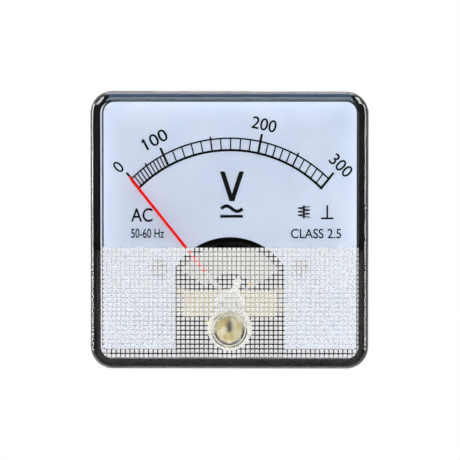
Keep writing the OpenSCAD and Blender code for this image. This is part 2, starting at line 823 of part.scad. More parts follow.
// Moving iron vane on the side away from the pointer, held by a web and a hub
module moving_vane() {
    out_r = sleeve_bore_d / 2 - seat_gap - sheet_t - vane_gap;
    z = bobbin_back + bobbin_flange + vane_inset;
    h = bobbin_len - 2 * (bobbin_flange + vane_inset);
    web_z = z + (h - web_h) / 2;
    web_in = ring_r - overlap;
    color([0.5, 0.5, 0.52]) upright() at_pivot() rotate(zero_angle - 90) {
        rotate(-moving_vane_span / 2) translate([0, 0, z]) rotate_extrude(angle = moving_vane_span)
            translate([out_r - sheet_t, 0]) square([sheet_t, h]);
        spindle_ring(ring_r, web_z, web_h);
        translate([web_in, -sheet_t / 2, web_z])
            cube([out_r - sheet_t / 2 - web_in, sheet_t, web_h]);
    }
}

// Aluminium damping vane, under the lid, in line with the pointer
module damping_vane() {
    plate_t = 0.35;
    arm_w = 0.8;
    arm_gap = 0.15; // to the lid and to the floor of its slot
    arm_top = lid_z - arm_gap;
    arm_bottom = lid_z - arm_slot_h + arm_gap;
    arm_in = ring_r - overlap;
    paddle_in = chamber_in_r + free_gap;
    paddle_out = chamber_out_r - free_gap;
    paddle_z = frame_front + free_gap;
    color([0.82, 0.83, 0.84]) upright() at_pivot() rotate(zero_angle) {
        spindle_ring(ring_r, arm_bottom, arm_top - arm_bottom);
        translate([-arm_w / 2, arm_in, arm_bottom])
            cube([arm_w, paddle_out - arm_in, arm_top - arm_bottom]);
        translate([-plate_t / 2, paddle_in, paddle_z])
            cube([plate_t, paddle_out - paddle_in, arm_top - paddle_z]);
    }
}

// Red pointer with its hub and three thin arms for the balance weights
module pointer() {
    half = pointer_w / 2;
    tip_run = 1.2;
    hub_z = arm_z - hub_rim;
    hub_h = pointer_t + 2 * hub_rim;
    color([0.93, 0.05, 0.05]) upright() at_pivot() rotate(zero_angle) difference() {
        union() {
            translate([0, 0, arm_z]) linear_extrude(pointer_t) polygon([[-half, 0], [half, 0],
                [half, pointer_len - tip_run], [half / 3, pointer_len], [-half / 3, pointer_len],
                [-half, pointer_len - tip_run]]);
            translate([0, 0, hub_z]) cylinder(d = hub_d, h = hub_h);
            for (turn = [90, 180, 270]) rotate(turn) translate([0, 0, arm_z + pointer_t / 2])
                rotate([-90, 0, 0]) cylinder(d = arm_d, h = balance_arm_len);
        }
        translate([0, 0, hub_z - cut])
            cylinder(d = spindle_d + 2 * thread_gap, h = hub_h + 2 * cut);
    }
}

// Brass weights on the pointer's side arms and tail
module balance_weights() {
    z = arm_z + pointer_t / 2;
    color([0.8, 0.62, 0.28]) upright() at_pivot() rotate(zero_angle)
        for (turn = [90, 180, 270]) rotate(turn) {
            tail = turn == 180;
            len = tail ? tail_weight_len : side_weight_len;
            d = tail ? tail_weight_d : side_weight_d;
            translate([0, balance_arm_len - arm_past_weight - len, z]) rotate([-90, 0, 0]) difference() {
                cylinder(d = d, h = len);
                translate([0, 0, -cut]) cylinder(d = arm_d + 2 * thread_gap, h = len + 2 * cut);
            }
        }
}

// Brass collet that holds the hairspring's inner end
module spring_collet() {
    color([0.8, 0.62, 0.28]) upright() at_pivot() spindle_ring(ring_r, spring_z, spring_h);
}

// Radius of the hairspring's middle line, by its share of the way out
function spring_r(share) =
    ring_r + seat_gap + spring_t / 2 + share * (spring_out_r - ring_r - spring_t - seat_gap);

// Flat spiral hairspring of bronze strip, from the collet out to the lever's anchor
module hairspring() {
    steps_a_turn = 28;
    steps = steps_a_turn * spring_turns;
    shares = [for (i = [0:steps]) i / steps];
    function place(share, side) = let (
            a = anchor_angle - 360 * spring_turns * (1 - share),
            r = spring_r(share) + side * spring_t / 2)
        [r * cos(a), r * sin(a)];
    color([0.72, 0.5, 0.25]) upright() at_pivot(spring_z) linear_extrude(spring_h) polygon(concat(
        [for (s = shares) place(s, 1)], [for (i = [steps:-1:0]) place(i / steps, -1)]));
}

// White zero lever: ring on the front bearing, slotted plate on the zero screw's pin, hairspring anchor
module zero_lever() {
    slot_w = zero_pin_d + 2 * slot_gap;
    slot_end = zero_pin_d / 2 + slot_end_gap;
    slot_top = zero_drop - eccentric - slot_end;
    anchor_r = spring_out_r + seat_gap + anchor_d / 2;
    color([0.95, 0.94, 0.9]) upright() at_pivot() difference() {
        union() {
            translate([0, 0, lever_z]) linear_extrude(lever_t) {
                circle(d = lever_ring_d);
                translate([0, -zero_drop]) circle(d = lever_plate_d);
                rotate(anchor_angle) link([0, 0], [anchor_r, 0], anchor_arm_w);
            }
            rotate(anchor_angle) translate([anchor_r, 0, spring_z])
                cylinder(d = anchor_d, h = lever_z - spring_z + lever_t / 2);
        }
        translate([0, 0, lever_z - cut])
            cylinder(d = jewel_screw_d + 2 * run_gap, h = lever_t + 2 * cut);
        translate([-slot_w / 2, -zero_drop - slot_end, lever_z - cut])
            cube([slot_w, zero_drop + slot_end - slot_top, lever_t + 2 * cut]);
    }
}

// Series resistor: a slim body with thicker ends, lying across the back of the case
module series_resistor() {
    half = resistor_len / 2;
    color([0.72, 0.62, 0.45]) upright() translate([resistor_x, resistor_y, resistor_z])
        rotate([0, 90, 0]) translate([0, 0, -half]) {
            cylinder(d = resistor_d, h = resistor_len);
            for (z = [0, resistor_len - resistor_cap_len]) translate([0, 0, z])
                cylinder(d = resistor_cap_d, h = resistor_cap_len);
        }
}

// Bare leads of the resistor: a short one towards the coil and one to the left terminal's tag
module resistor_leads() {
    left = resistor_x - resistor_len / 2;
    right = resistor_x + resistor_len / 2;
    tag_x = -terminal_spacing / 2;
    color([0.75, 0.75, 0.76]) upright() {
        translate([right, resistor_y, resistor_z]) rotate([0, 90, 0])
            cylinder(r = bare_lead_r, h = bare_lead_len);
        wire([[left, resistor_y, resistor_z], [left - lead_bend, resistor_y, resistor_z],
            [tag_x, tag_joint_y - lead_bend, tag_joint_z], [tag_x, tag_joint_y, tag_joint_z]],
            bare_lead_r);
    }
}

// Insulated wires from the coil: one to the resistor, one to the right terminal's tag
module lead_wires() {
    right = resistor_x + resistor_len / 2 + bare_lead_len;
    tag_x = terminal_spacing / 2;
    exit_r = bobbin_d / 2 - wire_exit_inset;
    exits = [for (x = wire_exit_x) [x, pivot_y + sqrt(exit_r * exit_r - x * x), bobbin_back]];
    bend = [0, 0, wire_bend];
    color([0.7, 0.1, 0.1]) upright() {
        wire([exits[0], exits[0] - bend, [right + wire_bend, resistor_y, resistor_z],
            [right, resistor_y, resistor_z]], wire_r);
        wire([exits[1], exits[1] - bend, [tag_x, tag_joint_y - wire_bend, tag_joint_z],
            [tag_x, tag_joint_y, tag_joint_z]], wire_r);
    }
}

// Solder tags under the terminal bolts' heads, each with its tail folded up
module solder_tags() {
    color([0.8, 0.78, 0.7]) upright() at_places(terminal_places, back_in) {
        linear_extrude(tag_t) difference() {
            union() {
                circle(d = terminal_washer_d);
                translate([-tag_w / 2, -tag_len]) square([tag_w, tag_len]);
            }
            circle(d = terminal_d + 2 * seat_gap);
        }
        translate([-tag_w / 2, -tag_len, 0]) cube([tag_w, tag_t, tag_rise]);
    }
}

// Brass terminal bolts, put through the back of the case from inside
module terminal_bolts() {
    head_z = back_in + tag_t;
    head_h = 2.8;
    tail = -barrel_len - terminal_reach;
    color([0.83, 0.68, 0.36]) upright() at_places(terminal_places) {
        translate([0, 0, head_z]) hexagon(terminal_nut_af, head_h);
        translate([0, 0, tail]) cylinder(d = terminal_d, h = head_z - tail + head_h / 2);
    }
}

module terminal_clamp_nuts() {
    color([0.83, 0.68, 0.36]) upright() at_places(terminal_places, clamp_back)
        hex_nut(terminal_nut_af, terminal_nut_h, terminal_d + 2 * thread_gap);
}

module terminal_washers() {
    color([0.83, 0.68, 0.36]) upright() at_places(terminal_places, washer_back)
        linear_extrude(terminal_washer_t) difference() {
            circle(d = terminal_washer_d);
            circle(d = terminal_d + 2 * seat_gap);
        }
}

module terminal_spring_washers() {
    in_r = terminal_d / 2 + seat_gap;
    color([0.6, 0.6, 0.62]) upright() at_places(terminal_places, spring_washer_back)
        rotate_extrude(angle = spring_washer_turn) translate([in_r, 0])
            square([terminal_nut_af / 2 - in_r, spring_washer_t]);
}

module terminal_nuts() {
    color([0.83, 0.68, 0.36]) upright()
        at_places(terminal_places, spring_washer_back - terminal_nut_h)
            hex_nut(terminal_nut_af, terminal_nut_h, terminal_d + 2 * thread_gap);
}

front_cover();
zero_screw();
rear_case();
mounting_studs();
dial_plate();
scale_print();
dial_screws();
movement_frame();
frame_screws();
coil_bobbin();
coil_winding();
fixed_vane();
damper_lid();
bridge();
bridge_screws();
front_jewel_screw();
rear_jewel_screw();
jewel_lock_nuts();
pivot_jewels();
spindle();
moving_vane();
damping_vane();
pointer();
balance_weights();
spring_collet();
hairspring();
zero_lever();
series_resistor();
resistor_leads();
lead_wires();
solder_tags();
terminal_bolts();
terminal_clamp_nuts();
terminal_washers();
terminal_spring_washers();
terminal_nuts();
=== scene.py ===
import math

import bmesh
import bpy
from mathutils import Color, Matrix, Vector
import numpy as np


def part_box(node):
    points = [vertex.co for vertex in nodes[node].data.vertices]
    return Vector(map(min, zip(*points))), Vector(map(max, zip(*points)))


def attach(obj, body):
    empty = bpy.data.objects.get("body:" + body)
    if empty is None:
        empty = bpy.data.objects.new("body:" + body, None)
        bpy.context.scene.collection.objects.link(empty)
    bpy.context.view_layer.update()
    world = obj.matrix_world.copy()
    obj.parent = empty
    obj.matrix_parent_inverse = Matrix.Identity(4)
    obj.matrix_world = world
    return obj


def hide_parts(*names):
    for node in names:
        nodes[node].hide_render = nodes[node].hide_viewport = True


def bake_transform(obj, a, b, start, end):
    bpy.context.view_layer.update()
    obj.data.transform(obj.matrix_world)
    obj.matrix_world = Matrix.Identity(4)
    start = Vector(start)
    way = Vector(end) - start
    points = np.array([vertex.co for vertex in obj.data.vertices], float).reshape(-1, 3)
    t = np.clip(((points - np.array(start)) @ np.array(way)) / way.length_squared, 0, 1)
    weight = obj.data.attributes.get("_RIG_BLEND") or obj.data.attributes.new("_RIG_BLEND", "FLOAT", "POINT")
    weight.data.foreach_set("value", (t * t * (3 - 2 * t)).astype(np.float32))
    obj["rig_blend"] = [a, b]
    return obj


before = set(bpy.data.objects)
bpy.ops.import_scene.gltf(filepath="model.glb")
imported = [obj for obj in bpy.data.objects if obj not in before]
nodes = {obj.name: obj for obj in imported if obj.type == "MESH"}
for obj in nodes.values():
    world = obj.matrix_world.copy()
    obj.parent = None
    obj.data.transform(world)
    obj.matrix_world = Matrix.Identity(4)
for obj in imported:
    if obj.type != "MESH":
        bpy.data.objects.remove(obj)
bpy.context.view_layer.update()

# Rear case
# One black moulding: square flange, centring rim, barrel and closed back, with a satin skin that is matt
# and darker under the cover, where the darker colour is painted shade. Its edges are slightly rounded, as a
# mould leaves them, and all the rest is fixed to it.
MM = 0.001
CASE_BLACK = (14, 14, 13)
CASE_GREY = (22, 22, 21)
MATT_SHADED_BLACK = (6, 6, 6)
MATT_SHADED_GREY = (11, 11, 10)
CASE_EDGE_R = 0.3
MATT_PAST_FLANGE = 0.1
GRAIN_DETAIL = 3
TONE_DETAIL = 2
TONE_SCALE = 0.06
WELD_GAP_M = 1e-7
FLAT_BELOW_DEG = 0.5
ROUNDED_FROM_DEG = 40
ROUNDING_STEPS = 3


def screen(red, green, blue, alpha=1.0):
    """A colour as it looks on screen, from 0 to 255, in the renderer's linear values."""
    colour = Color((red / 255, green / 255, blue / 255)).from_srgb_to_scene_linear()
    return (*colour, alpha)


def make_surface_grain():
    """Fine grain for roughness and bump, and a broad tone for the colour."""
    group = bpy.data.node_groups.new("surface_grain", "ShaderNodeTree")
    sockets = group.interface
    sockets.new_socket("Vector", in_out="INPUT", socket_type="NodeSocketVector")
    for name in ("Scale", "Roughness", "Spread"):
        sockets.new_socket(name, in_out="INPUT", socket_type="NodeSocketFloat")
    for name in ("Roughness", "Height", "Tone"):
        sockets.new_socket(name, in_out="OUTPUT", socket_type="NodeSocketFloat")
    made, link = group.nodes, group.links.new
    given = made.new("NodeGroupInput")
    result = made.new("NodeGroupOutput")
    fine = made.new("ShaderNodeTexNoise")
    fine.inputs["Detail"].default_value = GRAIN_DETAIL
    link(given.outputs["Vector"], fine.inputs["Vector"])
    link(given.outputs["Scale"], fine.inputs["Scale"])
    share = made.new("ShaderNodeMath")
    share.operation = "MULTIPLY"
    share.inputs[1].default_value = TONE_SCALE
    link(given.outputs["Scale"], share.inputs[0])
    broad = made.new("ShaderNodeTexNoise")
    broad.inputs["Detail"].default_value = TONE_DETAIL
    link(given.outputs["Vector"], broad.inputs["Vector"])
    link(share.outputs[0], broad.inputs["Scale"])
    centred = made.new("ShaderNodeMath")
    centred.operation = "SUBTRACT"
    centred.inputs[1].default_value = 0.5
    link(fine.outputs["Fac"], centred.inputs[0])
    rough = made.new("ShaderNodeMath")
    rough.operation = "MULTIPLY_ADD"
    link(centred.outputs[0], rough.inputs[0])
    link(given.outputs["Spread"], rough.inputs[1])
    link(given.outputs["Roughness"], rough.inputs[2])
    link(rough.outputs[0], result.inputs["Roughness"])
    link(fine.outputs["Fac"], result.inputs["Height"])
    link(broad.outputs["Fac"], result.inputs["Tone"])
    return group


surface_grain = make_surface_grain()


def finish(name, dark, pale, roughness, spread, grain_mm, depth_mm, metallic=0.0, shine=0.5):
    """A grained material: two tones, uneven gloss and a fine bump.

    shine is 0.5 for bare plastic and less for a matt surface.
    """
    material = bpy.data.materials.new(name)
    material.use_nodes = True
    tree = material.node_tree
    shader = tree.nodes["Principled BSDF"]
    shader.inputs["Metallic"].default_value = metallic
    shader.inputs["Specular IOR Level"].default_value = shine
    place = tree.nodes.new("ShaderNodeTexCoord")
    grain = tree.nodes.new("ShaderNodeGroup")
    grain.node_tree = surface_grain
    grain.inputs["Scale"].default_value = 1 / (grain_mm * MM)
    grain.inputs["Roughness"].default_value = roughness
    grain.inputs["Spread"].default_value = spread
    tree.links.new(place.outputs["Object"], grain.inputs["Vector"])
    tree.links.new(grain.outputs["Roughness"], shader.inputs["Roughness"])
    tone = tree.nodes.new("ShaderNodeMix")
    tone.data_type = "RGBA"
    tone.inputs["A"].default_value = screen(*dark)
    tone.inputs["B"].default_value = screen(*pale)
    tree.links.new(grain.outputs["Tone"], tone.inputs["Factor"])
    tree.links.new(tone.outputs["Result"], shader.inputs["Base Color"])
    bump = tree.nodes.new("ShaderNodeBump")
    bump.inputs["Distance"].default_value = depth_mm * MM
    tree.links.new(grain.outputs["Height"], bump.inputs["Height"])
    tree.links.new(bump.outputs["Normal"], shader.inputs["Normal"])
    return material


def dress(node, material, edge_mm=0.0):
    """Gives a CAD node its material and, where edge_mm is set, rounds its edges."""
    piece = nodes[node]
    piece.data.materials.clear()
    piece.data.materials.append(material)
    if edge_mm:
        weld = piece.modifiers.new("weld", "WELD")
        weld.merge_threshold = WELD_GAP_M
        flat = piece.modifiers.new("flat faces", "DECIMATE")
        flat.decimate_type = "DISSOLVE"
        flat.angle_limit = math.radians(FLAT_BELOW_DEG)
        rounding = piece.modifiers.new("rounded edges", "BEVEL")
        rounding.width = edge_mm * MM
        rounding.segments = ROUNDING_STEPS
        rounding.limit_method = "ANGLE"
        rounding.angle_limit = math.radians(ROUNDED_FROM_DEG)


case_black = finish(
    "case_black", CASE_BLACK, CASE_GREY,
    roughness=0.42, spread=0.12, grain_mm=0.25, depth_mm=0.02, shine=0.4)
case_matt_shaded = finish(
    "case_matt_shaded", MATT_SHADED_BLACK, MATT_SHADED_GREY,
    roughness=0.5, spread=0.12, grain_mm=0.25, depth_mm=0.012, shine=0.1)
dress("rear_case", case_black, CASE_EDGE_R)
case_mesh = nodes["rear_case"].data
case_mesh.materials.append(case_matt_shaded)
flange_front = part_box("front_cover")[1].y
# Faces in front of the flange, under the cover, take the darker matt copy: painted shade.
for face in case_mesh.polygons:
    if face.center.y < flange_front + MATT_PAST_FLANGE * MM:
        face.material_index = 1

# Mounting studs
# Four zinc-plated steel studs with a rolled thread, which hold the meter on its panel. Their hexagon heads
# are sunk in the flange, where they can't turn.
STUD_D = 3.0
STUD_PITCH = 0.5
STUD_HEAD_AF = 5.5
STUD_HEAD_H = 2.0
STUD_SHOULDER_D = 3.6
STUD_SPACING = 46.0
ZINC_DARK = (150, 152, 156)
ZINC_PALE = (196, 198, 202)
THREAD_STEPS = 28
THREAD_DEPTH = 0.6
THREAD_CORNERS = (0.05, 0.15, 0.5, 0.7)
THREAD_LEAD = 1.5
THREAD_SPARE_TURNS = 2
THREAD_MERGE = 0.001
HEX_STEPS = 60
HEX_SIDE_DEG = 60
HEX_FACE_SHARE = 0.97
HEX_CHAMFER_DEG = 30
MERGE_GAP = 0.001

# Pieces are modelled in millimetres with x to the right, y up and z to the viewer, then stood up.
STAND_UP = Matrix.Rotation(math.radians(90), 4, "X") @ Matrix.Scale(MM, 4)


def face_box(node):
    """A CAD node's lowest and highest corners in the coordinates of the face, in millimetres."""
    low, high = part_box(node)
    return Vector((low.x, low.z, -high.y)) / MM, Vector((high.x, high.z, -low.y)) / MM


def thread(bm, radius, pitch, back, front, x, y):
    """A rolled thread from back to front: a zigzag spun along a helix, cut flat and chamfered behind."""
    root = radius - THREAD_DEPTH * pitch
    rod = bmesh.new()
    before = None
    turns = math.ceil((front - back) / pitch) + THREAD_SPARE_TURNS
    for turn in range(turns):
        for r, step in zip((radius, radius, root, root), THREAD_CORNERS):
            vert = rod.verts.new((r, 0, back + (turn - THREAD_LEAD + step) * pitch))
            if before:
                rod.edges.new((before, vert))
            before = vert
    bmesh.ops.spin(
        rod, geom=rod.verts[:] + rod.edges[:], axis=(0, 0, 1), cent=(0, 0, 0),
        dvec=(0, 0, pitch / THREAD_STEPS), angle=math.tau, steps=THREAD_STEPS)
    bmesh.ops.remove_doubles(rod, verts=rod.verts[:], dist=THREAD_MERGE * pitch)
    for level, normal in ((back, -1), (front, 1)):
        bmesh.ops.bisect_plane(
            rod, geom=rod.verts[:] + rod.edges[:] + rod.faces[:], plane_co=(0, 0, level),
            plane_no=(0, 0, normal), clear_outer=True)
    for vert in rod.verts:
        limit = root + (vert.co.z - back)
        if vert.co.xy.length > limit:
            vert.co.xy = vert.co.xy.normalized() * limit
    bmesh.ops.holes_fill(rod, edges=[e for e in rod.edges if e.is_boundary], sides=0)
    add_to(bm, rod, x, y)


def add_to(bm, part, x=0.0, y=0.0):
    """Adds one bmesh to another at a place on the face, and frees it."""
    bmesh.ops.recalc_face_normals(part, faces=part.faces[:])
    bmesh.ops.translate(part, verts=part.verts[:], vec=(x, y, 0))
    mesh = bpy.data.meshes.new("part")
    part.to_mesh(mesh)
    part.free()
    bm.from_mesh(mesh)
    bpy.data.meshes.remove(mesh)


def turn_profile(part, profile, steps):
    """Spins a profile of radius and height about the z axis: closed where it leaves a bore."""
    verts = [part.verts.new((r, 0, z)) for r, z in profile]
    edges = [part.edges.new(pair) for pair in zip(verts, verts[1:])]
    if profile[0][0]:
        edges.append(part.edges.new((verts[-1], verts[0])))
    bmesh.ops.spin(
        part, geom=verts + edges, axis=(0, 0, 1), cent=(0, 0, 0),
        angle=math.tau, steps=steps, use_merge=True)
    bmesh.ops.remove_doubles(part, verts=part.verts[:], dist=MERGE_GAP)
    bmesh.ops.recalc_face_normals(part, faces=part.faces[:])


def hexagon(bm, across_flats, back, front, x, y, bore=0.0):
    """A hexagon chamfered at both ends: a spun ring whose rim is pushed out to the flats."""
    part = bmesh.new()
    flat_r = across_flats / 2
    chamfer_r = HEX_FACE_SHARE * flat_r
    slope = math.tan(math.radians(HEX_CHAMFER_DEG))
    turn_profile(part, [
        (bore, back), (chamfer_r, back), (flat_r, back),
        (flat_r, front), (chamfer_r, front), (bore, front)], HEX_STEPS)
    for vert in part.verts:
        if vert.co.xy.length > (chamfer_r + flat_r) / 2:
            angle = math.atan2(vert.co.y, vert.co.x)
            side = (math.degrees(angle) % HEX_SIDE_DEG) - HEX_SIDE_DEG / 2
            reach = flat_r / math.cos(math.radians(side))
            drop = (reach - chamfer_r) * slope
            vert.co.x = reach * math.cos(angle)
            vert.co.y = reach * math.sin(angle)
            vert.co.z += drop if abs(vert.co.z - back) < abs(vert.co.z - front) else -drop
    add_to(bm, part, x, y)


def make_piece(name, bm, material, smooth_deg=35):
    """Stands the finished mesh up in the part's frame, as an object of that name at the origin."""
    bmesh.ops.transform(bm, matrix=STAND_UP, verts=bm.verts[:])
    mesh = bpy.data.meshes.new(name)
    bm.to_mesh(mesh)
    bm.free()
    mesh.materials.append(material)
    if smooth_deg:
        mesh.shade_smooth()
        mesh.set_sharp_from_angle(angle=math.radians(smooth_deg))
    piece = bpy.data.objects.new(name, mesh)
    bpy.context.scene.collection.objects.link(piece)
    return piece


stud_low, stud_high = face_box("mounting_studs")
zinc = finish(
    "zinc_plate", ZINC_DARK, ZINC_PALE,
    roughness=0.34, spread=0.16, grain_mm=0.12, depth_mm=0.004, metallic=1.0)
studs = bmesh.new()
for stud_x in (-STUD_SPACING / 2, STUD_SPACING / 2):
    for stud_y in (-STUD_SPACING / 2, STUD_SPACING / 2):
        head_back = stud_high.z - STUD_HEAD_H
        shoulder = bmesh.new()
        turn_profile(shoulder, [
            (0, 0), (STUD_SHOULDER_D / 2, 0),
            (STUD_SHOULDER_D / 2, head_back), (0, head_back)], THREAD_STEPS)
        add_to(studs, shoulder, stud_x, stud_y)
        thread(studs, STUD_D / 2, STUD_PITCH, stud_low.z, 0, stud_x, stud_y)
        hexagon(studs, STUD_HEAD_AF, head_back, stud_high.z, stud_x, stud_y)
stud_piece = make_piece("threaded_studs", studs, zinc)
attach(stud_piece, "case")
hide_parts("mounting_studs")

# Terminals
# Two brass screw terminals: each has a bolt headed inside the case, a solder tag under the head,
# a nut that clamps the bolt to the back, and a washer, a spring washer and a nut for the wire.
TERMINAL_X = 11.0
TERMINAL_Y = 7.0
TERMINAL_D = 4.0
TERMINAL_PITCH = 0.7
TERMINAL_AF = 7.0
TERMINAL_HEAD_H = 2.8
NUT_CLEARANCE = 0.03
WASHER_EDGE_R = 0.12
BRASS_DARK = (176, 140, 72)
BRASS_PALE = (214, 180, 108)

brass = finish(
    "turned_brass", BRASS_DARK, BRASS_PALE,
    roughness=0.3, spread=0.14, grain_mm=0.15, depth_mm=0.004, metallic=1.0)
bolt_low, bolt_high = face_box("terminal_bolts")
bolt_head_back = bolt_high.z - TERMINAL_HEAD_H
bolts = bmesh.new()
for bolt_x in (-TERMINAL_X, TERMINAL_X):
    thread(bolts, TERMINAL_D / 2, TERMINAL_PITCH, bolt_low.z, bolt_head_back, bolt_x, TERMINAL_Y)
    hexagon(bolts, TERMINAL_AF, bolt_head_back, bolt_high.z, bolt_x, TERMINAL_Y)
bolt_piece = make_piece("threaded_terminals", bolts, brass)
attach(bolt_piece, "case")
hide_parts("terminal_bolts")

for nut_node, nut_name in (("terminal_clamp_nuts", "clamp_nuts"), ("terminal_nuts", "wire_nuts")):
    nut_low, nut_high = face_box(nut_node)
    nuts = bmesh.new()
    for nut_x in (-TERMINAL_X, TERMINAL_X):
        hexagon(
            nuts, TERMINAL_AF, nut_low.z, nut_high.z, nut_x, TERMINAL_Y,
            bore=TERMINAL_D / 2 + NUT_CLEARANCE)
    nut_piece = make_piece(nut_name, nuts, brass)
    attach(nut_piece, "case")
    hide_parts(nut_node)
dress("terminal_washers", brass, WASHER_EDGE_R)
dress("solder_tags", brass)
dress("terminal_spring_washers", zinc, WASHER_EDGE_R)

# Series resistor and wiring
# A lacquered resistor with coloured rings hangs on its own tinned leads between a tag and the coil,
# and two insulated wires run from the coil, all soldered.
LACQUER_DARK = (176, 150, 108)
LACQUER_PALE = (196, 172, 130)
RING_COLOURS = ((96, 56, 32), (28, 26, 24), (214, 178, 44), (190, 152, 70))
RING_STARTS = (0.26, 0.38, 0.5, 0.7)
RING_SHARE = 0.06
SLEEVE_RED = (150, 34, 30)
SLEEVE_RED_PALE = (170, 48, 42)
RESISTOR_EDGE_R = 0.35


def paint_over(material, mask, colour):
    """Lays a colour over what the material shows so far, where the mask is 1."""
    tree = material.node_tree
    base = tree.nodes["Principled BSDF"].inputs["Base Color"]
    over = tree.nodes.new("ShaderNodeMix")
    over.data_type = "RGBA"
    over.inputs["B"].default_value = screen(*colour)
    tree.links.new(mask, over.inputs["Factor"])
    tree.links.new(base.links[0].from_socket, over.inputs["A"])
    tree.links.new(over.outputs["Result"], base)


def paint_rings(material, node):
    """Draws the resistor's rings over its lacquer, as shares of its length along x."""
    low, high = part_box(node)
    tree = material.node_tree
    place = tree.nodes.new("ShaderNodeTexCoord")
    split = tree.nodes.new("ShaderNodeSeparateXYZ")
    tree.links.new(place.outputs["Object"], split.inputs["Vector"])
    share = tree.nodes.new("ShaderNodeMapRange")
    share.inputs["From Min"].default_value = low.x
    share.inputs["From Max"].default_value = high.x
    tree.links.new(split.outputs["X"], share.inputs["Value"])
    for start, ring in zip(RING_STARTS, RING_COLOURS):
        inside = tree.nodes.new("ShaderNodeMath")
        inside.operation = "COMPARE"
        inside.inputs[1].default_value = start + RING_SHARE / 2
        inside.inputs[2].default_value = RING_SHARE / 2
        tree.links.new(share.outputs["Result"], inside.inputs[0])
        paint_over(material, inside.outputs[0], ring)


lacquer = finish(
    "resistor_lacquer", LACQUER_DARK, LACQUER_PALE,
    roughness=0.32, spread=0.1, grain_mm=0.3, depth_mm=0.006)
paint_rings(lacquer, "series_resistor")
dress("series_resistor", lacquer, RESISTOR_EDGE_R)
dress("resistor_leads", zinc)
sleeve = finish(
    "wire_sleeve", SLEEVE_RED, SLEEVE_RED_PALE,
    roughness=0.45, spread=0.1, grain_mm=0.2, depth_mm=0.004)
dress("lead_wires", sleeve)

# Movement frame
# One black moulding that carries the coil's sleeve, the damping chamber and the posts of the dial,
# screwed on the bosses of the case by two cheese-head screws.
FRAME_BLACK = (5, 5, 5)
FRAME_GREY = (10, 10, 10)
SCREW_HEAD_EDGE_R = 0.08

frame_black = finish(
    "frame_black", FRAME_BLACK, FRAME_GREY,
    roughness=0.5, spread=0.12, grain_mm=0.2, depth_mm=0.01, shine=0.1)
dress("movement_frame", frame_black)
dress("frame_screws", zinc, SCREW_HEAD_EDGE_R)

# Coil
# Enamelled copper wire wound side by side on a pale bobbin that is pushed over the frame's sleeve.
# Its outer layer shows each turn.
WINDING_TURNS = 20
TURN_ARC_STEPS = 4
WINDING_SPIN_STEPS = 64
PIVOT_Y = -16.1
BOBBIN_DARK = (206, 200, 184)
BOBBIN_PALE = (222, 217, 203)
ENAMEL_DARK = (128, 60, 26)
ENAMEL_PALE = (168, 88, 42)
BOBBIN_EDGE_R = 0.12
WINDING_BORE_R = 5.7
WINDING_SMOOTH_DEG = 75

bobbin_plastic = finish(
    "bobbin_plastic", BOBBIN_DARK, BOBBIN_PALE,
    roughness=0.45, spread=0.1, grain_mm=0.25, depth_mm=0.006)
dress("coil_bobbin", bobbin_plastic, BOBBIN_EDGE_R)
enamel = finish(
    "enamelled_copper", ENAMEL_DARK, ENAMEL_PALE,
    roughness=0.25, spread=0.1, grain_mm=0.2, depth_mm=0.003, metallic=0.7)
winding_low, winding_high = face_box("coil_winding")
winding_r = (winding_high.x - winding_low.x) / 2
wire_pitch = (winding_high.z - winding_low.z) / WINDING_TURNS
wire_section = [(WINDING_BORE_R, winding_low.z)]
for turn in range(WINDING_TURNS):
    for step in range(TURN_ARC_STEPS + 1):
        angle = math.pi * step / TURN_ARC_STEPS
        wire_section.append((
            winding_r - wire_pitch / 2 * (1 - math.sin(angle)),
            winding_low.z + wire_pitch * (turn + (1 - math.cos(angle)) / 2)))
wire_section.append((WINDING_BORE_R, winding_high.z))
winding = bmesh.new()
turns_of_wire = bmesh.new()
turn_profile(turns_of_wire, wire_section, WINDING_SPIN_STEPS)
add_to(winding, turns_of_wire, 0, PIVOT_Y)
winding_piece = make_piece("wound_wire", winding, enamel, WINDING_SMOOTH_DEG)
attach(winding_piece, "case")
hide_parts("coil_winding")

# Iron vanes
# Two curved sheets of soft iron, one fixed in the sleeve and one on the spindle, that push apart
# when current flows in the coil.
IRON_DARK = (108, 108, 112)
IRON_PALE = (142, 142, 146)

soft_iron = finish(
    "soft_iron", IRON_DARK, IRON_PALE,
    roughness=0.45, spread=0.16, grain_mm=0.2, depth_mm=0.006, metallic=1.0)
dress("fixed_vane", soft_iron)
dress("moving_vane", soft_iron)

# Spindle, damping vane and balance
# A steel spindle runs in two cup jewels. It carries a light aluminium vane that moves in the damping
# chamber, the balance weights on their arms and the collet of the hairspring.
STEEL_DARK = (132, 133, 137)
STEEL_PALE = (178, 179, 183)
ALUMINIUM_DARK = (186, 188, 190)
ALUMINIUM_PALE = (212, 214, 216)
WEIGHT_EDGE_R = 0.06
COLLET_EDGE_R = 0.05

bright_steel = finish(
    "bright_steel", STEEL_DARK, STEEL_PALE,
    roughness=0.24, spread=0.1, grain_mm=0.1, depth_mm=0.002, metallic=1.0)
aluminium = finish(
    "rolled_aluminium", ALUMINIUM_DARK, ALUMINIUM_PALE,
    roughness=0.36, spread=0.14, grain_mm=0.2, depth_mm=0.003, metallic=1.0)
dress("spindle", bright_steel)
dress("damping_vane", aluminium)
dress("balance_weights", brass, WEIGHT_EDGE_R)
dress("spring_collet", brass, COLLET_EDGE_R)

# Pointer
# A flat blade of aluminium with a flattened hub, pressed on the spindle. It is sprayed red, except near
# the hub, where it was held and stays bare.
POINTER_RED = (248, 2, 3)
POINTER_RED_PALE = (254, 4, 5)
POINTER_BARE = (200, 201, 200)
POINTER_BARE_R = 8.7
POINTER_EDGE_R = 0.06


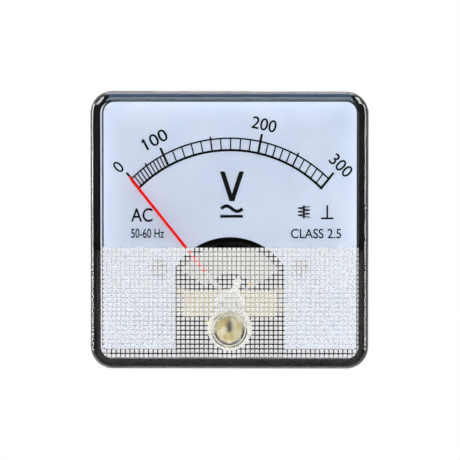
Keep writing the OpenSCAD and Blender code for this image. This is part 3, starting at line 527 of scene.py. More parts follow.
def leave_bare(material, colour, radius):
    """Takes the paint off within that distance of the pivot."""
    tree = material.node_tree
    place = tree.nodes.new("ShaderNodeTexCoord")
    flat = tree.nodes.new("ShaderNodeVectorMath")
    flat.operation = "MULTIPLY"
    flat.inputs[1].default_value = (1, 0, 1)
    tree.links.new(place.outputs["Object"], flat.inputs[0])
    away = tree.nodes.new("ShaderNodeVectorMath")
    away.operation = "DISTANCE"
    away.inputs[1].default_value = (0, 0, PIVOT_Y * MM)
    tree.links.new(flat.outputs["Vector"], away.inputs[0])
    within = tree.nodes.new("ShaderNodeMath")
    within.operation = "LESS_THAN"
    within.inputs[1].default_value = radius * MM
    tree.links.new(away.outputs["Value"], within.inputs[0])
    paint_over(material, within.outputs[0], colour)


pointer_red = finish(
    "pointer_red", POINTER_RED, POINTER_RED_PALE,
    roughness=0.42, spread=0.1, grain_mm=0.3, depth_mm=0.003, shine=0.03)
leave_bare(pointer_red, POINTER_BARE, POINTER_BARE_R)
dress("pointer", pointer_red, POINTER_EDGE_R)

# Bearings and bridge
# A grey zinc lid, black at its top where it shows under the scale, closes the damping chamber. A brass
# bridge on two screws holds the front jewel screw. The jewels are red corundum, and nickel-plated nuts
# lock both jewel screws.
LID_BLACK_FROM_Y = -4.6
LID_DARK = (142, 139, 130)
LID_PALE = (168, 164, 154)
BRIDGE_DARK = (176, 162, 128)
BRIDGE_PALE = (206, 194, 162)
NICKEL_DARK = (206, 202, 190)
NICKEL_PALE = (228, 225, 214)
JEWEL_DARK = (150, 14, 34)
JEWEL_PALE = (176, 26, 48)
BRIDGE_EDGE_R = 0.15
LOCK_NUT_EDGE_R = 0.1


def blacken_top(material, height):
    """Paints a piece black above that height on the face."""
    tree = material.node_tree
    place = tree.nodes.new("ShaderNodeTexCoord")
    split = tree.nodes.new("ShaderNodeSeparateXYZ")
    tree.links.new(place.outputs["Object"], split.inputs["Vector"])
    above = tree.nodes.new("ShaderNodeMath")
    above.operation = "GREATER_THAN"
    above.inputs[1].default_value = height * MM
    tree.links.new(split.outputs["Z"], above.inputs[0])
    paint_over(material, above.outputs[0], FRAME_BLACK)


jewel_red = finish(
    "jewel_red", JEWEL_DARK, JEWEL_PALE,
    roughness=0.08, spread=0.02, grain_mm=0.3, depth_mm=0.001)
lid_zinc = finish(
    "lid_zinc", LID_DARK, LID_PALE,
    roughness=0.45, spread=0.14, grain_mm=0.2, depth_mm=0.003, metallic=1.0)
blacken_top(lid_zinc, LID_BLACK_FROM_Y)
dress("damper_lid", lid_zinc)
bridge_brass = finish(
    "bridge_brass", BRIDGE_DARK, BRIDGE_PALE,
    roughness=0.45, spread=0.14, grain_mm=0.2, depth_mm=0.004, metallic=1.0)
nickel = finish(
    "nickel_plate", NICKEL_DARK, NICKEL_PALE,
    roughness=0.3, spread=0.12, grain_mm=0.15, depth_mm=0.003, metallic=1.0)
dress("bridge", bridge_brass, BRIDGE_EDGE_R)
dress("bridge_screws", zinc, SCREW_HEAD_EDGE_R)
dress("front_jewel_screw", nickel, SCREW_HEAD_EDGE_R)
dress("rear_jewel_screw", nickel, SCREW_HEAD_EDGE_R)
dress("jewel_lock_nuts", nickel, LOCK_NUT_EDGE_R)
dress("pivot_jewels", jewel_red)

# Zero lever and hairspring
# A white lever turns on the front bearing: the zero screw's pin sits in its slot, and its post holds
# the outer end of a flat spiral of spring bronze. The inner end is fixed to the collet.
NYLON_DARK = (226, 222, 206)
NYLON_PALE = (240, 237, 224)
BRONZE_DARK = (172, 116, 56)
BRONZE_PALE = (204, 150, 84)
SPRING_TURNS = 4
SPRING_TURN_STEPS = 40
SPRING_STEPS = SPRING_TURNS * SPRING_TURN_STEPS
SPRING_STRIP_T = 0.1
SPRING_OUT_R = 4.55
SPRING_IN_R = 1.05
ANCHOR_DEG = 70.0
LEVER_EDGE_R = 0.1

nylon = finish(
    "white_nylon", NYLON_DARK, NYLON_PALE,
    roughness=0.4, spread=0.1, grain_mm=0.25, depth_mm=0.004)
dress("zero_lever", nylon, LEVER_EDGE_R)
bronze = finish(
    "spring_bronze", BRONZE_DARK, BRONZE_PALE,
    roughness=0.26, spread=0.1, grain_mm=0.1, depth_mm=0.001, metallic=1.0)
spring_low, spring_high = face_box("hairspring")
spring = bmesh.new()
strip_back = spring.verts.new((SPRING_OUT_R, 0, spring_low.z))
strip_front = spring.verts.new((SPRING_OUT_R, 0, spring_high.z))
strip_end = [spring.edges.new((strip_back, strip_front))]
for step in range(SPRING_STEPS):
    drawn = bmesh.ops.extrude_edge_only(spring, edges=strip_end)["geom"]
    strip_end = [
        part for part in drawn
        if isinstance(part, bmesh.types.BMEdge) and len(part.link_faces) == 1
        and all(vert in drawn for vert in part.verts)]
    end_verts = strip_end[0].verts[:]
    wound = math.tau * SPRING_TURNS * (step + 1) / SPRING_STEPS
    radius = SPRING_OUT_R + (SPRING_IN_R - SPRING_OUT_R) * (step + 1) / SPRING_STEPS
    for vert in end_verts:
        vert.co.x = radius * math.cos(wound)
        vert.co.y = -radius * math.sin(wound)
bmesh.ops.recalc_face_normals(spring, faces=spring.faces[:])
bmesh.ops.solidify(spring, geom=spring.faces[:], thickness=SPRING_STRIP_T)
bmesh.ops.rotate(
    spring, verts=spring.verts[:], cent=(0, 0, 0), matrix=Matrix.Rotation(math.radians(ANCHOR_DEG), 3, "Z"))
wound_share = [(SPRING_OUT_R - vert.co.xy.length) / (SPRING_OUT_R - SPRING_IN_R) for vert in spring.verts]
bmesh.ops.translate(spring, verts=spring.verts[:], vec=(0, PIVOT_Y, 0))
spring_piece = make_piece("spiral_hairspring", spring, bronze)
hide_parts("hairspring")
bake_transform(spring_piece, "zero_lever", "pointer", start=(0, 0, 0), end=(0, 0, 1))
for value, share in zip(spring_piece.data.attributes["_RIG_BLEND"].data, wound_share):
    value.value = min(max(share, 0.0), 1.0)

# Dial
# A flat aluminium plate in pale blue-white paint, with its scale printed in black, held on two posts
# of the frame by slotted screws at the ends of the arch.
PAINT_DARK = (196, 207, 227)
PAINT_PALE = (218, 226, 242)
INK_DARK = (4, 4, 5)
INK_PALE = (10, 10, 12)
DIAL_EDGE_R = 0.1

dial_paint = finish(
    "dial_paint", PAINT_DARK, PAINT_PALE,
    roughness=0.5, spread=0.08, grain_mm=0.6, depth_mm=0.002, shine=0.1)
dress("dial_plate", dial_paint, DIAL_EDGE_R)
ink = finish(
    "scale_ink", INK_DARK, INK_PALE,
    roughness=0.5, spread=0.08, grain_mm=0.2, depth_mm=0.001, shine=0.05)
dress("scale_print", ink)
dress("dial_screws", zinc, SCREW_HEAD_EDGE_R)

# Dial lettering
# The figures of the scale, the unit, the class and the usual signs of the movement, printed in the
# same black ink as the scale.
FIGURE_H = 2.7
FIGURE_ADVANCE = 1.9
FIGURE_STROKE = 0.3
FIGURE_BOLDER = 0.008
FLAG_W = 0.6
FLAG_H = 0.7
WORDS_BOLDER = 0.008
WORDS_HALF_T = 0.5
WORDS_MERGE_GAP = 1e-5
FIGURES = (("0", -24.38, 13.43), ("100", -16.27, 19.46), ("200", 7.45, 22.71), ("300", 24.21, 13.76))
SCALE_CENTRE_Y = PIVOT_Y + 5.2
UNIT_AT = (0.42, 9.2)
UNIT_SIZE = (5.25, 6.5)
UNIT_STROKE = 1.05
CLASS_WORDS = ("CLASS 2.5", 18.77, -1.1, 10.92, 2.09)
SUPPLY_WORDS = ("AC", -19.25, 2.94, 4.7, 3.0)
RATE_WORDS = ("50-60 Hz", -18.0, -1.06, 7.2, 2.05)
WAVE_AT = (0.39, 4.34)
WAVE_SIZE = (4.7, 1.15)
WAVE_LINE = 0.72
WAVE_STEPS = 32
BAR = (0.34, 2.66, 4.97, 0.61)
IRON_SIGN_AT = (16.11, 3.62)
IRON_SIGN_H = 2.93
IRON_SIGN_HALF_W = 1.35
IRON_SIGN_LOOPS = 3
IRON_SIGN_COIL_SHARE = 0.8
IRON_SIGN_LEAN = 0.4
UPRIGHT_SIGN_AT = (21.2, 3.56)
UPRIGHT_SIGN_SIZE = (2.73, 3.05)
SIGN_LINE = 0.38
SIGN_THIN_LINE = 0.22


def print_words(bm, words, x, y, wide, high, turn_deg=0.0, bolder=0.0):
    """Words of that width and height in millimetres, centred at a place on the dial."""
    curve = bpy.data.curves.new("words", "FONT")
    curve.body = words
    curve.extrude = WORDS_HALF_T
    curve.offset = bolder
    line = bpy.data.objects.new("words", curve)
    bpy.context.scene.collection.objects.link(line)
    shaped = line.evaluated_get(bpy.context.evaluated_depsgraph_get())
    mesh = bpy.data.meshes.new_from_object(shaped)
    part = bmesh.new()
    part.from_mesh(mesh)
    bpy.data.objects.remove(line)
    bpy.data.curves.remove(curve)
    bpy.data.meshes.remove(mesh)
    bmesh.ops.remove_doubles(part, verts=part.verts[:], dist=WORDS_MERGE_GAP)
    across = [vert.co.x for vert in part.verts]
    along = [vert.co.y for vert in part.verts]
    middle = Vector(((min(across) + max(across)) / 2, (min(along) + max(along)) / 2, 0))
    bmesh.ops.translate(part, verts=part.verts[:], vec=-middle)
    bmesh.ops.scale(
        part, verts=part.verts[:],
        vec=(wide / (max(across) - min(across)), high / (max(along) - min(along)), ink_t))
    bmesh.ops.rotate(
        part, verts=part.verts[:], cent=(0, 0, 0), matrix=Matrix.Rotation(math.radians(turn_deg), 3, "Z"))
    bmesh.ops.translate(part, verts=part.verts[:], vec=(0, 0, ink_middle))
    add_to(bm, part, x, y)


def print_line(bm, start, end, thick):
    """A straight line of ink between two places on the dial."""
    part = bmesh.new()
    run = Vector(end) - Vector(start)
    bmesh.ops.create_cube(part, size=1)
    bmesh.ops.scale(part, verts=part.verts[:], vec=(run.length, thick, ink_t))
    bmesh.ops.rotate(
        part, verts=part.verts[:], cent=(0, 0, 0), matrix=Matrix.Rotation(math.atan2(run.y, run.x), 3, "Z"))
    middle = (Vector(start) + Vector(end)) / 2
    bmesh.ops.translate(part, verts=part.verts[:], vec=(0, 0, ink_middle))
    add_to(bm, part, middle.x, middle.y)


def draw_out(part, height):
    """Draws a flat sheet out along z into a closed block."""
    drawn = bmesh.ops.extrude_face_region(part, geom=part.faces[:], use_keep_orig=True)["geom"]
    bmesh.ops.translate(
        part, verts=[item for item in drawn if isinstance(item, bmesh.types.BMVert)], vec=(0, 0, height))
    bmesh.ops.recalc_face_normals(part, faces=part.faces[:])


ink_low, ink_high = face_box("scale_print")
ink_t = ink_high.z - ink_low.z
ink_middle = (ink_low.z + ink_high.z) / 2
lettering = bmesh.new()
for figure, figure_x, figure_y in FIGURES:
    lean = math.degrees(math.atan2(-figure_x, figure_y - SCALE_CENTRE_Y))
    figure_w = FIGURE_ADVANCE * len(figure) - FIGURE_STROKE
    print_words(lettering, figure, figure_x, figure_y, figure_w, FIGURE_H, lean, FIGURE_BOLDER)
    if figure.startswith("1"):
        leaning = Matrix.Rotation(math.radians(lean), 2)
        centre = Vector((figure_x, figure_y))
        flag_x = FIGURE_STROKE - figure_w / 2
        flag_top = centre + leaning @ Vector((flag_x, FIGURE_H / 2 - FIGURE_STROKE / 3))
        flag_end = centre + leaning @ Vector((flag_x - FLAG_W, FIGURE_H / 2 - FLAG_H))
        print_line(lettering, flag_top, flag_end, FIGURE_STROKE)
unit_half, unit_top = UNIT_SIZE[0] / 2, UNIT_SIZE[1] / 2
unit_fork = unit_top - UNIT_SIZE[1] * (unit_half - UNIT_STROKE) / (unit_half - UNIT_STROKE / 2)
unit_sheet = bmesh.new()
unit_corners = [unit_sheet.verts.new((x, y, ink_low.z)) for x, y in (
    (-unit_half, unit_top), (UNIT_STROKE - unit_half, unit_top), (0, unit_fork),
    (unit_half - UNIT_STROKE, unit_top), (unit_half, unit_top),
    (UNIT_STROKE / 2, -unit_top), (-UNIT_STROKE / 2, -unit_top))]
for corner, following in zip(unit_corners, unit_corners[1:] + unit_corners[:1]):
    unit_sheet.edges.new((corner, following))
bmesh.ops.edgeloop_fill(unit_sheet, edges=unit_sheet.edges[:])
draw_out(unit_sheet, ink_t)
add_to(lettering, unit_sheet, *UNIT_AT)
for words in (CLASS_WORDS, SUPPLY_WORDS, RATE_WORDS):
    print_words(lettering, *words, bolder=WORDS_BOLDER)
print_line(lettering, (BAR[0] - BAR[2] / 2, BAR[1]), (BAR[0] + BAR[2] / 2, BAR[1]), BAR[3])
wave = bmesh.new()
bmesh.ops.create_grid(wave, x_segments=WAVE_STEPS, y_segments=1, size=0.5)
for vert in wave.verts:
    phase = math.tau * vert.co.x
    rise = -WAVE_SIZE[1] / 2 * math.sin(phase)
    slope = math.atan2(-math.pi * WAVE_SIZE[1] * math.cos(phase), WAVE_SIZE[0])
    thick = WAVE_LINE * vert.co.y
    vert.co.x = WAVE_SIZE[0] * vert.co.x - thick * math.sin(slope)
    vert.co.y = rise + thick * math.cos(slope)
bmesh.ops.translate(wave, verts=wave.verts[:], vec=(0, 0, ink_low.z))
draw_out(wave, ink_t)
add_to(lettering, wave, *WAVE_AT)
sign_x, sign_y = IRON_SIGN_AT
print_line(lettering, (sign_x, sign_y - IRON_SIGN_H / 2), (sign_x, sign_y + IRON_SIGN_H / 2), SIGN_LINE)
loop_h = IRON_SIGN_COIL_SHARE * IRON_SIGN_H / IRON_SIGN_LOOPS
for loop in range(IRON_SIGN_LOOPS):
    top = sign_y + (IRON_SIGN_LOOPS / 2 - loop) * loop_h
    left, right = sign_x - IRON_SIGN_HALF_W, sign_x + IRON_SIGN_HALF_W
    turn_y = top - IRON_SIGN_LEAN * loop_h
    print_line(lettering, (right, top), (left, turn_y), SIGN_THIN_LINE)
    print_line(lettering, (left, turn_y), (right, top - loop_h), SIGN_THIN_LINE)
sign_x, sign_y = UPRIGHT_SIGN_AT
sign_foot = sign_y - UPRIGHT_SIGN_SIZE[1] / 2 + SIGN_LINE / 2
print_line(lettering, (sign_x, sign_foot), (sign_x, sign_y + UPRIGHT_SIGN_SIZE[1] / 2), SIGN_LINE)
sign_half = UPRIGHT_SIGN_SIZE[0] / 2
print_line(lettering, (sign_x - sign_half, sign_foot), (sign_x + sign_half, sign_foot), SIGN_LINE)
lettering_piece = make_piece("dial_lettering", lettering, ink, 0)
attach(lettering_piece, "case")

# Front cover
# One clear acrylic moulding with a rounded front edge, glued on the flange. Rows of small pyramids
# inside its lower half hide the movement, and a collar guards the zero screw.
COVER_CORNER_R = 4.8
COVER_EDGE_R = 2.2
COVER_WALL = 2.2
COVER_WINDOW_T = 2.0
COVER_CORNER_STEPS = 24
COVER_EDGE_STEPS = 12
ROUND_PROFILE = 0.5
COLLAR_D = 7.8
COLLAR_EDGE = 0.3
BORE_EDGE = 0.4
COLLAR_STEPS = 72
SCREW_SEAT_Z = 14.1
SCREW_SEAT_DEPTH = 1.1
SCREW_HEAD_BORE = 5.9
SCREW_SHANK_BORE = 4.0
FIELD_TOP = -3.7
PYRAMID_PITCH = 1.0
PYRAMID_GROOVE = 0.32
PYRAMID_H = 0.39
FIELD_FLOOR = 0.1
FIELD_CLEAR_D = 7.9
ZERO_Y = -21.4
ACRYLIC_IOR = 1.49
ACRYLIC_ROUGH = 0.015
POLISH_MM = 6
CLEAR = (255, 255, 255)
WINDOW_MIRROR = 0.08
EDGE_CLEAR = (225, 224, 218)
EDGE_PAINTED_SHADE = (34, 33, 30)
EDGE_ROUGH = 0.1
SHADE_PATCH_MM = 4.5
PATCH_FROM = 0.42
PATCH_FULL = 0.58
FLAT_NORMAL = 0.99
SLOPED_NORMAL = 0.1
CUT = 1.0


def rounded_block(half, corner_r, back, front, corner_steps):
    """A square with rounded corners, drawn out from back to front."""
    part = bmesh.new()
    bmesh.ops.create_grid(part, x_segments=1, y_segments=1, size=half)
    bmesh.ops.bevel(
        part, geom=part.verts[:], offset=corner_r, segments=corner_steps, profile=ROUND_PROFILE,
        affect="VERTICES", material=-1)
    bmesh.ops.translate(part, verts=part.verts[:], vec=(0, 0, back))
    draw_out(part, front - back)
    return part


def round_bar(diameter, back, front, x, y, steps=COLLAR_STEPS):
    """A plain cylinder from back to front."""
    part = bmesh.new()
    turn_profile(part, [(0, back), (diameter / 2, back), (diameter / 2, front), (0, front)], steps)
    bmesh.ops.translate(part, verts=part.verts[:], vec=(x, y, 0))
    return part


def combine(bm, other, operation):
    """Joins another solid to this one or cuts it out, and frees the other."""
    pieces = []
    for name, part in (("body", bm), ("tool", other)):
        mesh = bpy.data.meshes.new(name)
        part.to_mesh(mesh)
        pieces.append(bpy.data.objects.new(name, mesh))
        bpy.context.scene.collection.objects.link(pieces[-1])
    other.free()
    joining = pieces[0].modifiers.new("combine", "BOOLEAN")
    joining.object = pieces[1]
    joining.operation = operation
    joining.solver = "EXACT"
    bm.clear()
    bm.from_object(pieces[0], bpy.context.evaluated_depsgraph_get())
    for piece in pieces:
        mesh = piece.data
        bpy.data.objects.remove(piece)
        bpy.data.meshes.remove(mesh)


def make_stain_and_shade_patches():
    """A clean colour that turns into a second colour in soft-edged patches: real yellowing on the zero
    screw, painted shade on the chamfers round it.
    """
    group = bpy.data.node_groups.new("stain_and_shade_patches", "ShaderNodeTree")
    sockets = group.interface
    sockets.new_socket("Vector", in_out="INPUT", socket_type="NodeSocketVector")
    sockets.new_socket("Scale", in_out="INPUT", socket_type="NodeSocketFloat")
    for name in ("Clean", "Stain and shade"):
        sockets.new_socket(name, in_out="INPUT", socket_type="NodeSocketColor")
    sockets.new_socket("Color", in_out="OUTPUT", socket_type="NodeSocketColor")
    made, link = group.nodes, group.links.new
    given = made.new("NodeGroupInput")
    result = made.new("NodeGroupOutput")
    blots = made.new("ShaderNodeTexNoise")
    link(given.outputs["Vector"], blots.inputs["Vector"])
    link(given.outputs["Scale"], blots.inputs["Scale"])
    patch = made.new("ShaderNodeMapRange")
    patch.inputs["From Min"].default_value = PATCH_FROM
    patch.inputs["From Max"].default_value = PATCH_FULL
    link(blots.outputs["Fac"], patch.inputs["Value"])
    over = made.new("ShaderNodeMix")
    over.data_type = "RGBA"
    link(patch.outputs["Result"], over.inputs["Factor"])
    link(given.outputs["Clean"], over.inputs["A"])
    link(given.outputs["Stain and shade"], over.inputs["B"])
    link(over.outputs["Result"], result.inputs["Color"])
    return group


stain_and_shade_patches = make_stain_and_shade_patches()


def clear_plastic(name, tint, mirror, roughness, stain_and_shade=None, patch_mm=1.0):
    """Clear plastic that lets the lamps through, unevenly polished.

    mirror dims what it reflects face on, and a second colour tints it in soft patches of the given size:
    real yellowing on the screw, painted shade on the chamfered edges round it.
    """
    material = bpy.data.materials.new(name)
    material.use_nodes = True
    tree = material.node_tree
    shader = tree.nodes["Principled BSDF"]
    shader.inputs["Base Color"].default_value = screen(*tint)
    shader.inputs["Specular Tint"].default_value = (mirror, mirror, mirror, 1)
    shader.inputs["IOR"].default_value = ACRYLIC_IOR
    shader.inputs["Transmission Weight"].default_value = 1
    place = tree.nodes.new("ShaderNodeTexCoord")
    grain = tree.nodes.new("ShaderNodeGroup")
    grain.node_tree = surface_grain
    grain.inputs["Scale"].default_value = 1 / (POLISH_MM * MM)
    grain.inputs["Roughness"].default_value = roughness
    grain.inputs["Spread"].default_value = roughness
    tree.links.new(place.outputs["Object"], grain.inputs["Vector"])
    tree.links.new(grain.outputs["Roughness"], shader.inputs["Roughness"])
    if stain_and_shade:
        patches = tree.nodes.new("ShaderNodeGroup")
        patches.node_tree = stain_and_shade_patches
        patches.inputs["Scale"].default_value = 1 / (patch_mm * MM)
        patches.inputs["Clean"].default_value = screen(*tint)
        patches.inputs["Stain and shade"].default_value = screen(*stain_and_shade)
        tree.links.new(place.outputs["Object"], patches.inputs["Vector"])
        tree.links.new(patches.outputs["Color"], shader.inputs["Base Color"])
    path = tree.nodes.new("ShaderNodeLightPath")
    through = tree.nodes.new("ShaderNodeBsdfTransparent")
    mix = tree.nodes.new("ShaderNodeMixShader")
    tree.links.new(path.outputs["Is Shadow Ray"], mix.inputs["Fac"])
    tree.links.new(shader.outputs["BSDF"], mix.inputs[1])
    tree.links.new(through.outputs["BSDF"], mix.inputs[2])
    tree.links.new(mix.outputs["Shader"], tree.nodes["Material Output"].inputs["Surface"])
    return material


cover_low, cover_high = face_box("front_cover")
cover_half = cover_high.x
screw_low, screw_high = face_box("zero_screw")
cover_back = cover_low.z
window_out = SCREW_SEAT_Z + SCREW_SEAT_DEPTH
window_in = window_out - COVER_WINDOW_T
collar_front = cover_high.z

cover = rounded_block(cover_half, COVER_CORNER_R, cover_back, window_out, COVER_CORNER_STEPS)
front_edges = [
    edge for edge in cover.edges if all(vert.co.z > window_out - MERGE_GAP for vert in edge.verts)]
bmesh.ops.bevel(
    cover, geom=front_edges, offset=COVER_EDGE_R, segments=COVER_EDGE_STEPS, profile=ROUND_PROFILE,
    affect="EDGES", material=-1)
combine(cover, rounded_block(
    cover_half - COVER_WALL, COVER_CORNER_R - COVER_WALL, cover_back - CUT, window_in, COVER_CORNER_STEPS),
    "DIFFERENCE")

field_columns = round(2 * (cover_half - COVER_WALL) / PYRAMID_PITCH) + 1
field_rows = round((cover_half - COVER_WALL + FIELD_TOP) / PYRAMID_PITCH)
field = bmesh.new()
bmesh.ops.create_grid(field, x_segments=field_columns, y_segments=field_rows, size=0.5)
bmesh.ops.scale(
    field, verts=field.verts[:], vec=(field_columns * PYRAMID_PITCH, field_rows * PYRAMID_PITCH, 1))
bmesh.ops.reverse_faces(field, faces=field.faces[:])
bmesh.ops.translate(
    field, verts=field.verts[:],
    vec=(0, FIELD_TOP - field_rows * PYRAMID_PITCH / 2, window_in - FIELD_FLOOR))
cells = field.faces[:]
bmesh.ops.inset_individual(field, faces=cells, thickness=PYRAMID_GROOVE / 2)
bmesh.ops.poke(field, faces=cells, offset=PYRAMID_H)
field_rim = [edge for edge in field.edges if edge.is_boundary]
field_sides = bmesh.ops.extrude_edge_only(field, edges=field_rim)["geom"]
bmesh.ops.translate(
    field, verts=[item for item in field_sides if isinstance(item, bmesh.types.BMVert)],
    vec=(0, 0, FIELD_FLOOR + COVER_WINDOW_T / 4))
bmesh.ops.holes_fill(field, edges=[edge for edge in field.edges if edge.is_boundary], sides=0)
bmesh.ops.recalc_face_normals(field, faces=field.faces[:])
combine(field, round_bar(FIELD_CLEAR_D, window_in - CUT, window_out, 0, ZERO_Y), "DIFFERENCE")
combine(cover, field, "UNION")
collar_back = window_in + COVER_WINDOW_T / 2
collar = bmesh.new()
turn_profile(collar, [
    (0, collar_back), (COLLAR_D / 2, collar_back), (COLLAR_D / 2, collar_front - COLLAR_EDGE),
    (COLLAR_D / 2 - COLLAR_EDGE, collar_front), (0, collar_front)], COLLAR_STEPS)
bmesh.ops.translate(collar, verts=collar.verts[:], vec=(0, ZERO_Y, 0))
combine(cover, collar, "UNION")
screw_bore = bmesh.new()
turn_profile(screw_bore, [
    (0, window_in - CUT), (SCREW_SHANK_BORE / 2, window_in - CUT), (SCREW_SHANK_BORE / 2, SCREW_SEAT_Z),
    (SCREW_HEAD_BORE / 2, SCREW_SEAT_Z), (SCREW_HEAD_BORE / 2, collar_front - BORE_EDGE),
    (SCREW_HEAD_BORE / 2 + BORE_EDGE + CUT, collar_front + CUT), (0, collar_front + CUT)], COLLAR_STEPS)
bmesh.ops.translate(screw_bore, verts=screw_bore.verts[:], vec=(0, ZERO_Y, 0))
combine(cover, screw_bore, "DIFFERENCE")
acrylic = clear_plastic("clear_acrylic", CLEAR, mirror=1, roughness=ACRYLIC_ROUGH)
# The window's flat faces take the coated window. The chamfers of the collar and bore above it take painted
# shade: grey with dark patches, standing for the shade in the gap round the zero screw.
for face in cover.faces:
    face_z = face.calc_center_median().z
    if abs(face.normal.z) > FLAT_NORMAL and face_z > window_in - 2 * FIELD_FLOOR:
        face.material_index = 1
    elif face.normal.z > SLOPED_NORMAL and face_z > window_out + MERGE_GAP:
        face.material_index = 2
cover_piece = make_piece("clear_cover", cover, acrylic, 0)
coated_window = clear_plastic("coated_window", CLEAR, mirror=WINDOW_MIRROR, roughness=ACRYLIC_ROUGH)
cover_piece.data.materials.append(coated_window)
# Painted shade for the chamfers round the zero screw: a grey tint with dark patches.
painted_shade_edge = clear_plastic(
    "painted_shade_edge", EDGE_CLEAR, mirror=1, roughness=EDGE_ROUGH, stain_and_shade=EDGE_PAINTED_SHADE, patch_mm=SHADE_PATCH_MM)
cover_piece.data.materials.append(painted_shade_edge)
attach(cover_piece, "case")
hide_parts("front_cover")

# Zero screw
# A small clear plastic screw, yellowed in patches, that snaps into the collar from the front. Its pin
# is off centre and swings the zero lever when a screwdriver turns the slot. Its chamfered edges carry
# painted shade: grey with dark patches, standing for the shade in the gap round the head.
SCREW_HEAD_D = 5.8
SCREW_HEAD_H = 1.7
SCREW_SHANK_D = 3.9
SCREW_LIP_D = 4.5
SCREW_LIP_T = 0.6
SCREW_PIN_D = 1.0
SCREW_PIN_OFF = 0.8
SCREW_SLOT_W = 0.9
SCREW_SLOT_DEPTH = 1.0
SCREW_EDGE = 0.15
SCREW_TINT = (246, 244, 236)
SCREW_YELLOW = (214, 200, 150)
SCREW_ROUGH = 0.3
YELLOW_PATCH_MM = 2.2
SCREW_LIP_GAP = 0.05
SCREW_PIN_STEPS = 24

head_front = screw_high.z
head_back = head_front - SCREW_HEAD_H
lip_front = window_in - SCREW_LIP_GAP
lip_back = lip_front - SCREW_LIP_T
screw = bmesh.new()
turn_profile(screw, [
    (0, lip_back), (SCREW_LIP_D / 2, lip_back), (SCREW_LIP_D / 2, lip_front),
    (SCREW_SHANK_D / 2, lip_front), (SCREW_SHANK_D / 2, head_back), (SCREW_HEAD_D / 2, head_back),
    (SCREW_HEAD_D / 2, head_front - SCREW_EDGE), (SCREW_HEAD_D / 2 - SCREW_EDGE, head_front),
    (0, head_front)], COLLAR_STEPS)
pin = round_bar(SCREW_PIN_D, screw_low.z, lip_back + SCREW_LIP_T / 2, 0, SCREW_PIN_OFF, SCREW_PIN_STEPS)
combine(screw, pin, "UNION")
slot = bmesh.new()
bmesh.ops.create_cube(slot, size=1)
bmesh.ops.scale(slot, verts=slot.verts[:], vec=(SCREW_SLOT_W, 2 * SCREW_HEAD_D, 2 * SCREW_SLOT_DEPTH))
bmesh.ops.translate(slot, verts=slot.verts[:], vec=(0, 0, head_front))
combine(screw, slot, "DIFFERENCE")
bmesh.ops.translate(screw, verts=screw.verts[:], vec=(0, ZERO_Y, 0))
# The screw's chamfers take the same painted shade.
for face in screw.faces:
    if SLOPED_NORMAL < face.normal.z < FLAT_NORMAL:
        face.material_index = 1
screw_plastic = clear_plastic(
    "screw_plastic", SCREW_TINT, mirror=1, roughness=SCREW_ROUGH,
    stain_and_shade=SCREW_YELLOW, patch_mm=YELLOW_PATCH_MM)
screw_piece = make_piece("slotted_zero_screw", screw, screw_plastic)
screw_piece.data.materials.append(painted_shade_edge)
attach(screw_piece, "zero_screw")
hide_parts("zero_screw")

# Studio
# A pale floor below the instrument, a surround that is white to the eye and dimmer to what mirrors it,
# and eight soft lamps, each with its glow as radiance. Three of them only show as reflections.
FLOOR_Z = -0.16
FLOOR_R = 0.7
FLOOR_GREY = (236, 236, 236)
FLOOR_SIDES = 96
FLOOR_ROUGH = 0.8
SURROUND_LIGHT = 0.2
ROOM_LIGHT = 0.04
GLASS_LIGHT = 0.8
AHEAD_FROM = -0.2
AHEAD_TO = 0.3
DIRECT_BELOW = 0.5
NEUTRAL = (1.0, 1.0, 1.0)
COOL = (0.88, 0.94, 1.0)
BLUE = (0.35, 0.6, 1.0)
LAMPS = (
    ("key", (0.02, -0.88, 0.47), 0.55, 0.8, 3.3, COOL),
    ("sky", (0.02, -0.62, 0.79), 0.55, 1.2, 3.2, BLUE),
    ("top", (0.0, 0.35, 0.94), 0.9, 0.7, 3.0, NEUTRAL),
    ("left", (-0.97, 0.22, 0.1), 0.12, 0.8, 12.0, NEUTRAL),
    ("right", (0.99, -0.14, 0.1), 0.12, 0.8, 12.0, NEUTRAL),
    ("upper left", (-0.66, -0.36, 0.66), 0.5, 0.5, 13.0, NEUTRAL),
    ("upper right", (0.66, -0.36, 0.66), 0.5, 0.5, 13.0, NEUTRAL),
    ("back", (0.4, 0.9, 0.5), 0.9, 0.8, 2.4, NEUTRAL),
)
SHINE_ONLY = ("sky", "upper left", "upper right")

floor_mesh = bmesh.new()
bmesh.ops.create_circle(floor_mesh, cap_ends=True, segments=FLOOR_SIDES, radius=FLOOR_R)
bmesh.ops.translate(floor_mesh, verts=floor_mesh.verts[:], vec=(0, 0, FLOOR_Z))
floor_data = bpy.data.meshes.new("floor")
floor_mesh.to_mesh(floor_data)
floor_mesh.free()
floor_paint = bpy.data.materials.new("floor_paint")
floor_paint.use_nodes = True
floor_shader = floor_paint.node_tree.nodes["Principled BSDF"]
floor_shader.inputs["Base Color"].default_value = screen(*FLOOR_GREY)
floor_shader.inputs["Roughness"].default_value = FLOOR_ROUGH
floor_data.materials.append(floor_paint)
floor = bpy.data.objects.new("floor", floor_data)
bpy.context.scene.collection.objects.link(floor)
floor.visible_glossy = False

surround = bpy.data.worlds.new("surround")
surround.use_nodes = True
sky = surround.node_tree
lit = sky.nodes["Background"]
lit.inputs["Color"].default_value = (1, 1, 1, 1)
lit.inputs["Strength"].default_value = SURROUND_LIGHT
seen = sky.nodes.new("ShaderNodeBackground")
seen.inputs["Color"].default_value = (1, 1, 1, 1)
path = sky.nodes.new("ShaderNodeLightPath")
towards = sky.nodes.new("ShaderNodeTexCoord")
axes = sky.nodes.new("ShaderNodeSeparateXYZ")
sky.links.new(towards.outputs["Generated"], axes.inputs["Vector"])


def sky_math(operation, first, second):
    """One step of the surround's arithmetic."""
    step = sky.nodes.new("ShaderNodeMath")
    step.operation = operation
    for socket, value in zip(step.inputs, (first, second)):
        sky.links.new(value, socket)
    return step.outputs[0]


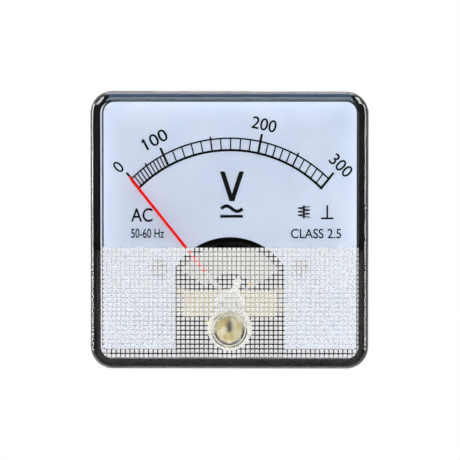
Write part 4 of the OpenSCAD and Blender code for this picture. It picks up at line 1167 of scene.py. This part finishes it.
def sky_ahead(light):
    """White behind the instrument, falling to that light in front of it."""
    fall = sky.nodes.new("ShaderNodeMapRange")
    fall.inputs["From Min"].default_value = AHEAD_FROM
    fall.inputs["From Max"].default_value = AHEAD_TO
    fall.inputs["To Min"].default_value = light
    sky.links.new(axes.outputs["Y"], fall.inputs["Value"])
    return fall.outputs["Result"]


mirrored = sky_math("MULTIPLY", path.outputs["Is Glossy Ray"], sky_ahead(ROOM_LIGHT))
passed = sky_math("MULTIPLY", path.outputs["Is Transmission Ray"], sky_ahead(GLASS_LIGHT))
through = sky_math("MAXIMUM", path.outputs["Is Camera Ray"], passed)
direct = sky.nodes.new("ShaderNodeMath")
direct.operation = "LESS_THAN"
direct.inputs[1].default_value = DIRECT_BELOW
sky.links.new(path.outputs["Diffuse Depth"], direct.inputs[0])
shown = sky_math("MAXIMUM", through, mirrored)
sky.links.new(sky_math("MULTIPLY", shown, direct.outputs[0]), seen.inputs["Strength"])
choice = sky.nodes.new("ShaderNodeMixShader")
bent = sky_math("MAXIMUM", path.outputs["Is Glossy Ray"], path.outputs["Is Transmission Ray"])
sky.links.new(sky_math("MAXIMUM", path.outputs["Is Camera Ray"], bent), choice.inputs["Fac"])
sky.links.new(lit.outputs["Background"], choice.inputs[1])
sky.links.new(seen.outputs["Background"], choice.inputs[2])
sky.links.new(choice.outputs["Shader"], sky.nodes["World Output"].inputs["Surface"])
bpy.context.scene.world = surround

for lamp_name, lamp_at, lamp_w, lamp_h, lamp_glow, lamp_colour in LAMPS:
    lamp_data = bpy.data.lights.new(lamp_name, "AREA")
    lamp_data.shape = "RECTANGLE"
    lamp_data.size = lamp_w
    lamp_data.size_y = lamp_h
    lamp_data.energy = lamp_glow * math.pi * lamp_w * lamp_h
    lamp_data.color = lamp_colour
    lamp = bpy.data.objects.new(lamp_name, lamp_data)
    lamp.location = lamp_at
    lamp.visible_transmission = False
    lamp.visible_diffuse = lamp_name not in SHINE_ONLY
    lamp.rotation_euler = (-Vector(lamp_at)).to_track_quat("-Z", "Y").to_euler()
    bpy.context.scene.collection.objects.link(lamp)

# Camera
# A long lens at arm's length, a little above the middle of the dial and a little to its right,
# turned straight to the dial so that its edges stay parallel.
CAMERA_TARGET = (0.0, -0.0152, 0.0)
CAMERA_DISTANCE = 0.65
CAMERA_UP_DEG = 2.558
CAMERA_RIGHT_DEG = 1.0
CAMERA_LENS = 236.44
CAMERA_SENSOR = 36.0
CAMERA_CLIP = 0.05
FRAMING_X = 0.156
FRAMING_Z = 0.088

camera_data = bpy.data.cameras.new("camera")
camera_data.lens = CAMERA_LENS
camera_data.sensor_width = CAMERA_SENSOR
camera_data.clip_start = CAMERA_CLIP
camera = bpy.data.objects.new("camera", camera_data)
up_angle = math.radians(CAMERA_UP_DEG)
side_angle = math.radians(CAMERA_RIGHT_DEG)
camera_back = Vector((
    math.sin(side_angle) * math.cos(up_angle),
    -math.cos(side_angle) * math.cos(up_angle),
    math.sin(up_angle)))
aim = Vector(CAMERA_TARGET) + Vector((FRAMING_X, 0, FRAMING_Z)) * MM
camera.location = aim + CAMERA_DISTANCE * camera_back
camera.rotation_euler = camera_back.to_track_quat("Z", "Y").to_euler()
bpy.context.scene.collection.objects.link(camera)
bpy.context.scene.camera = camera
bpy.context.scene.view_settings.view_transform = "Standard"
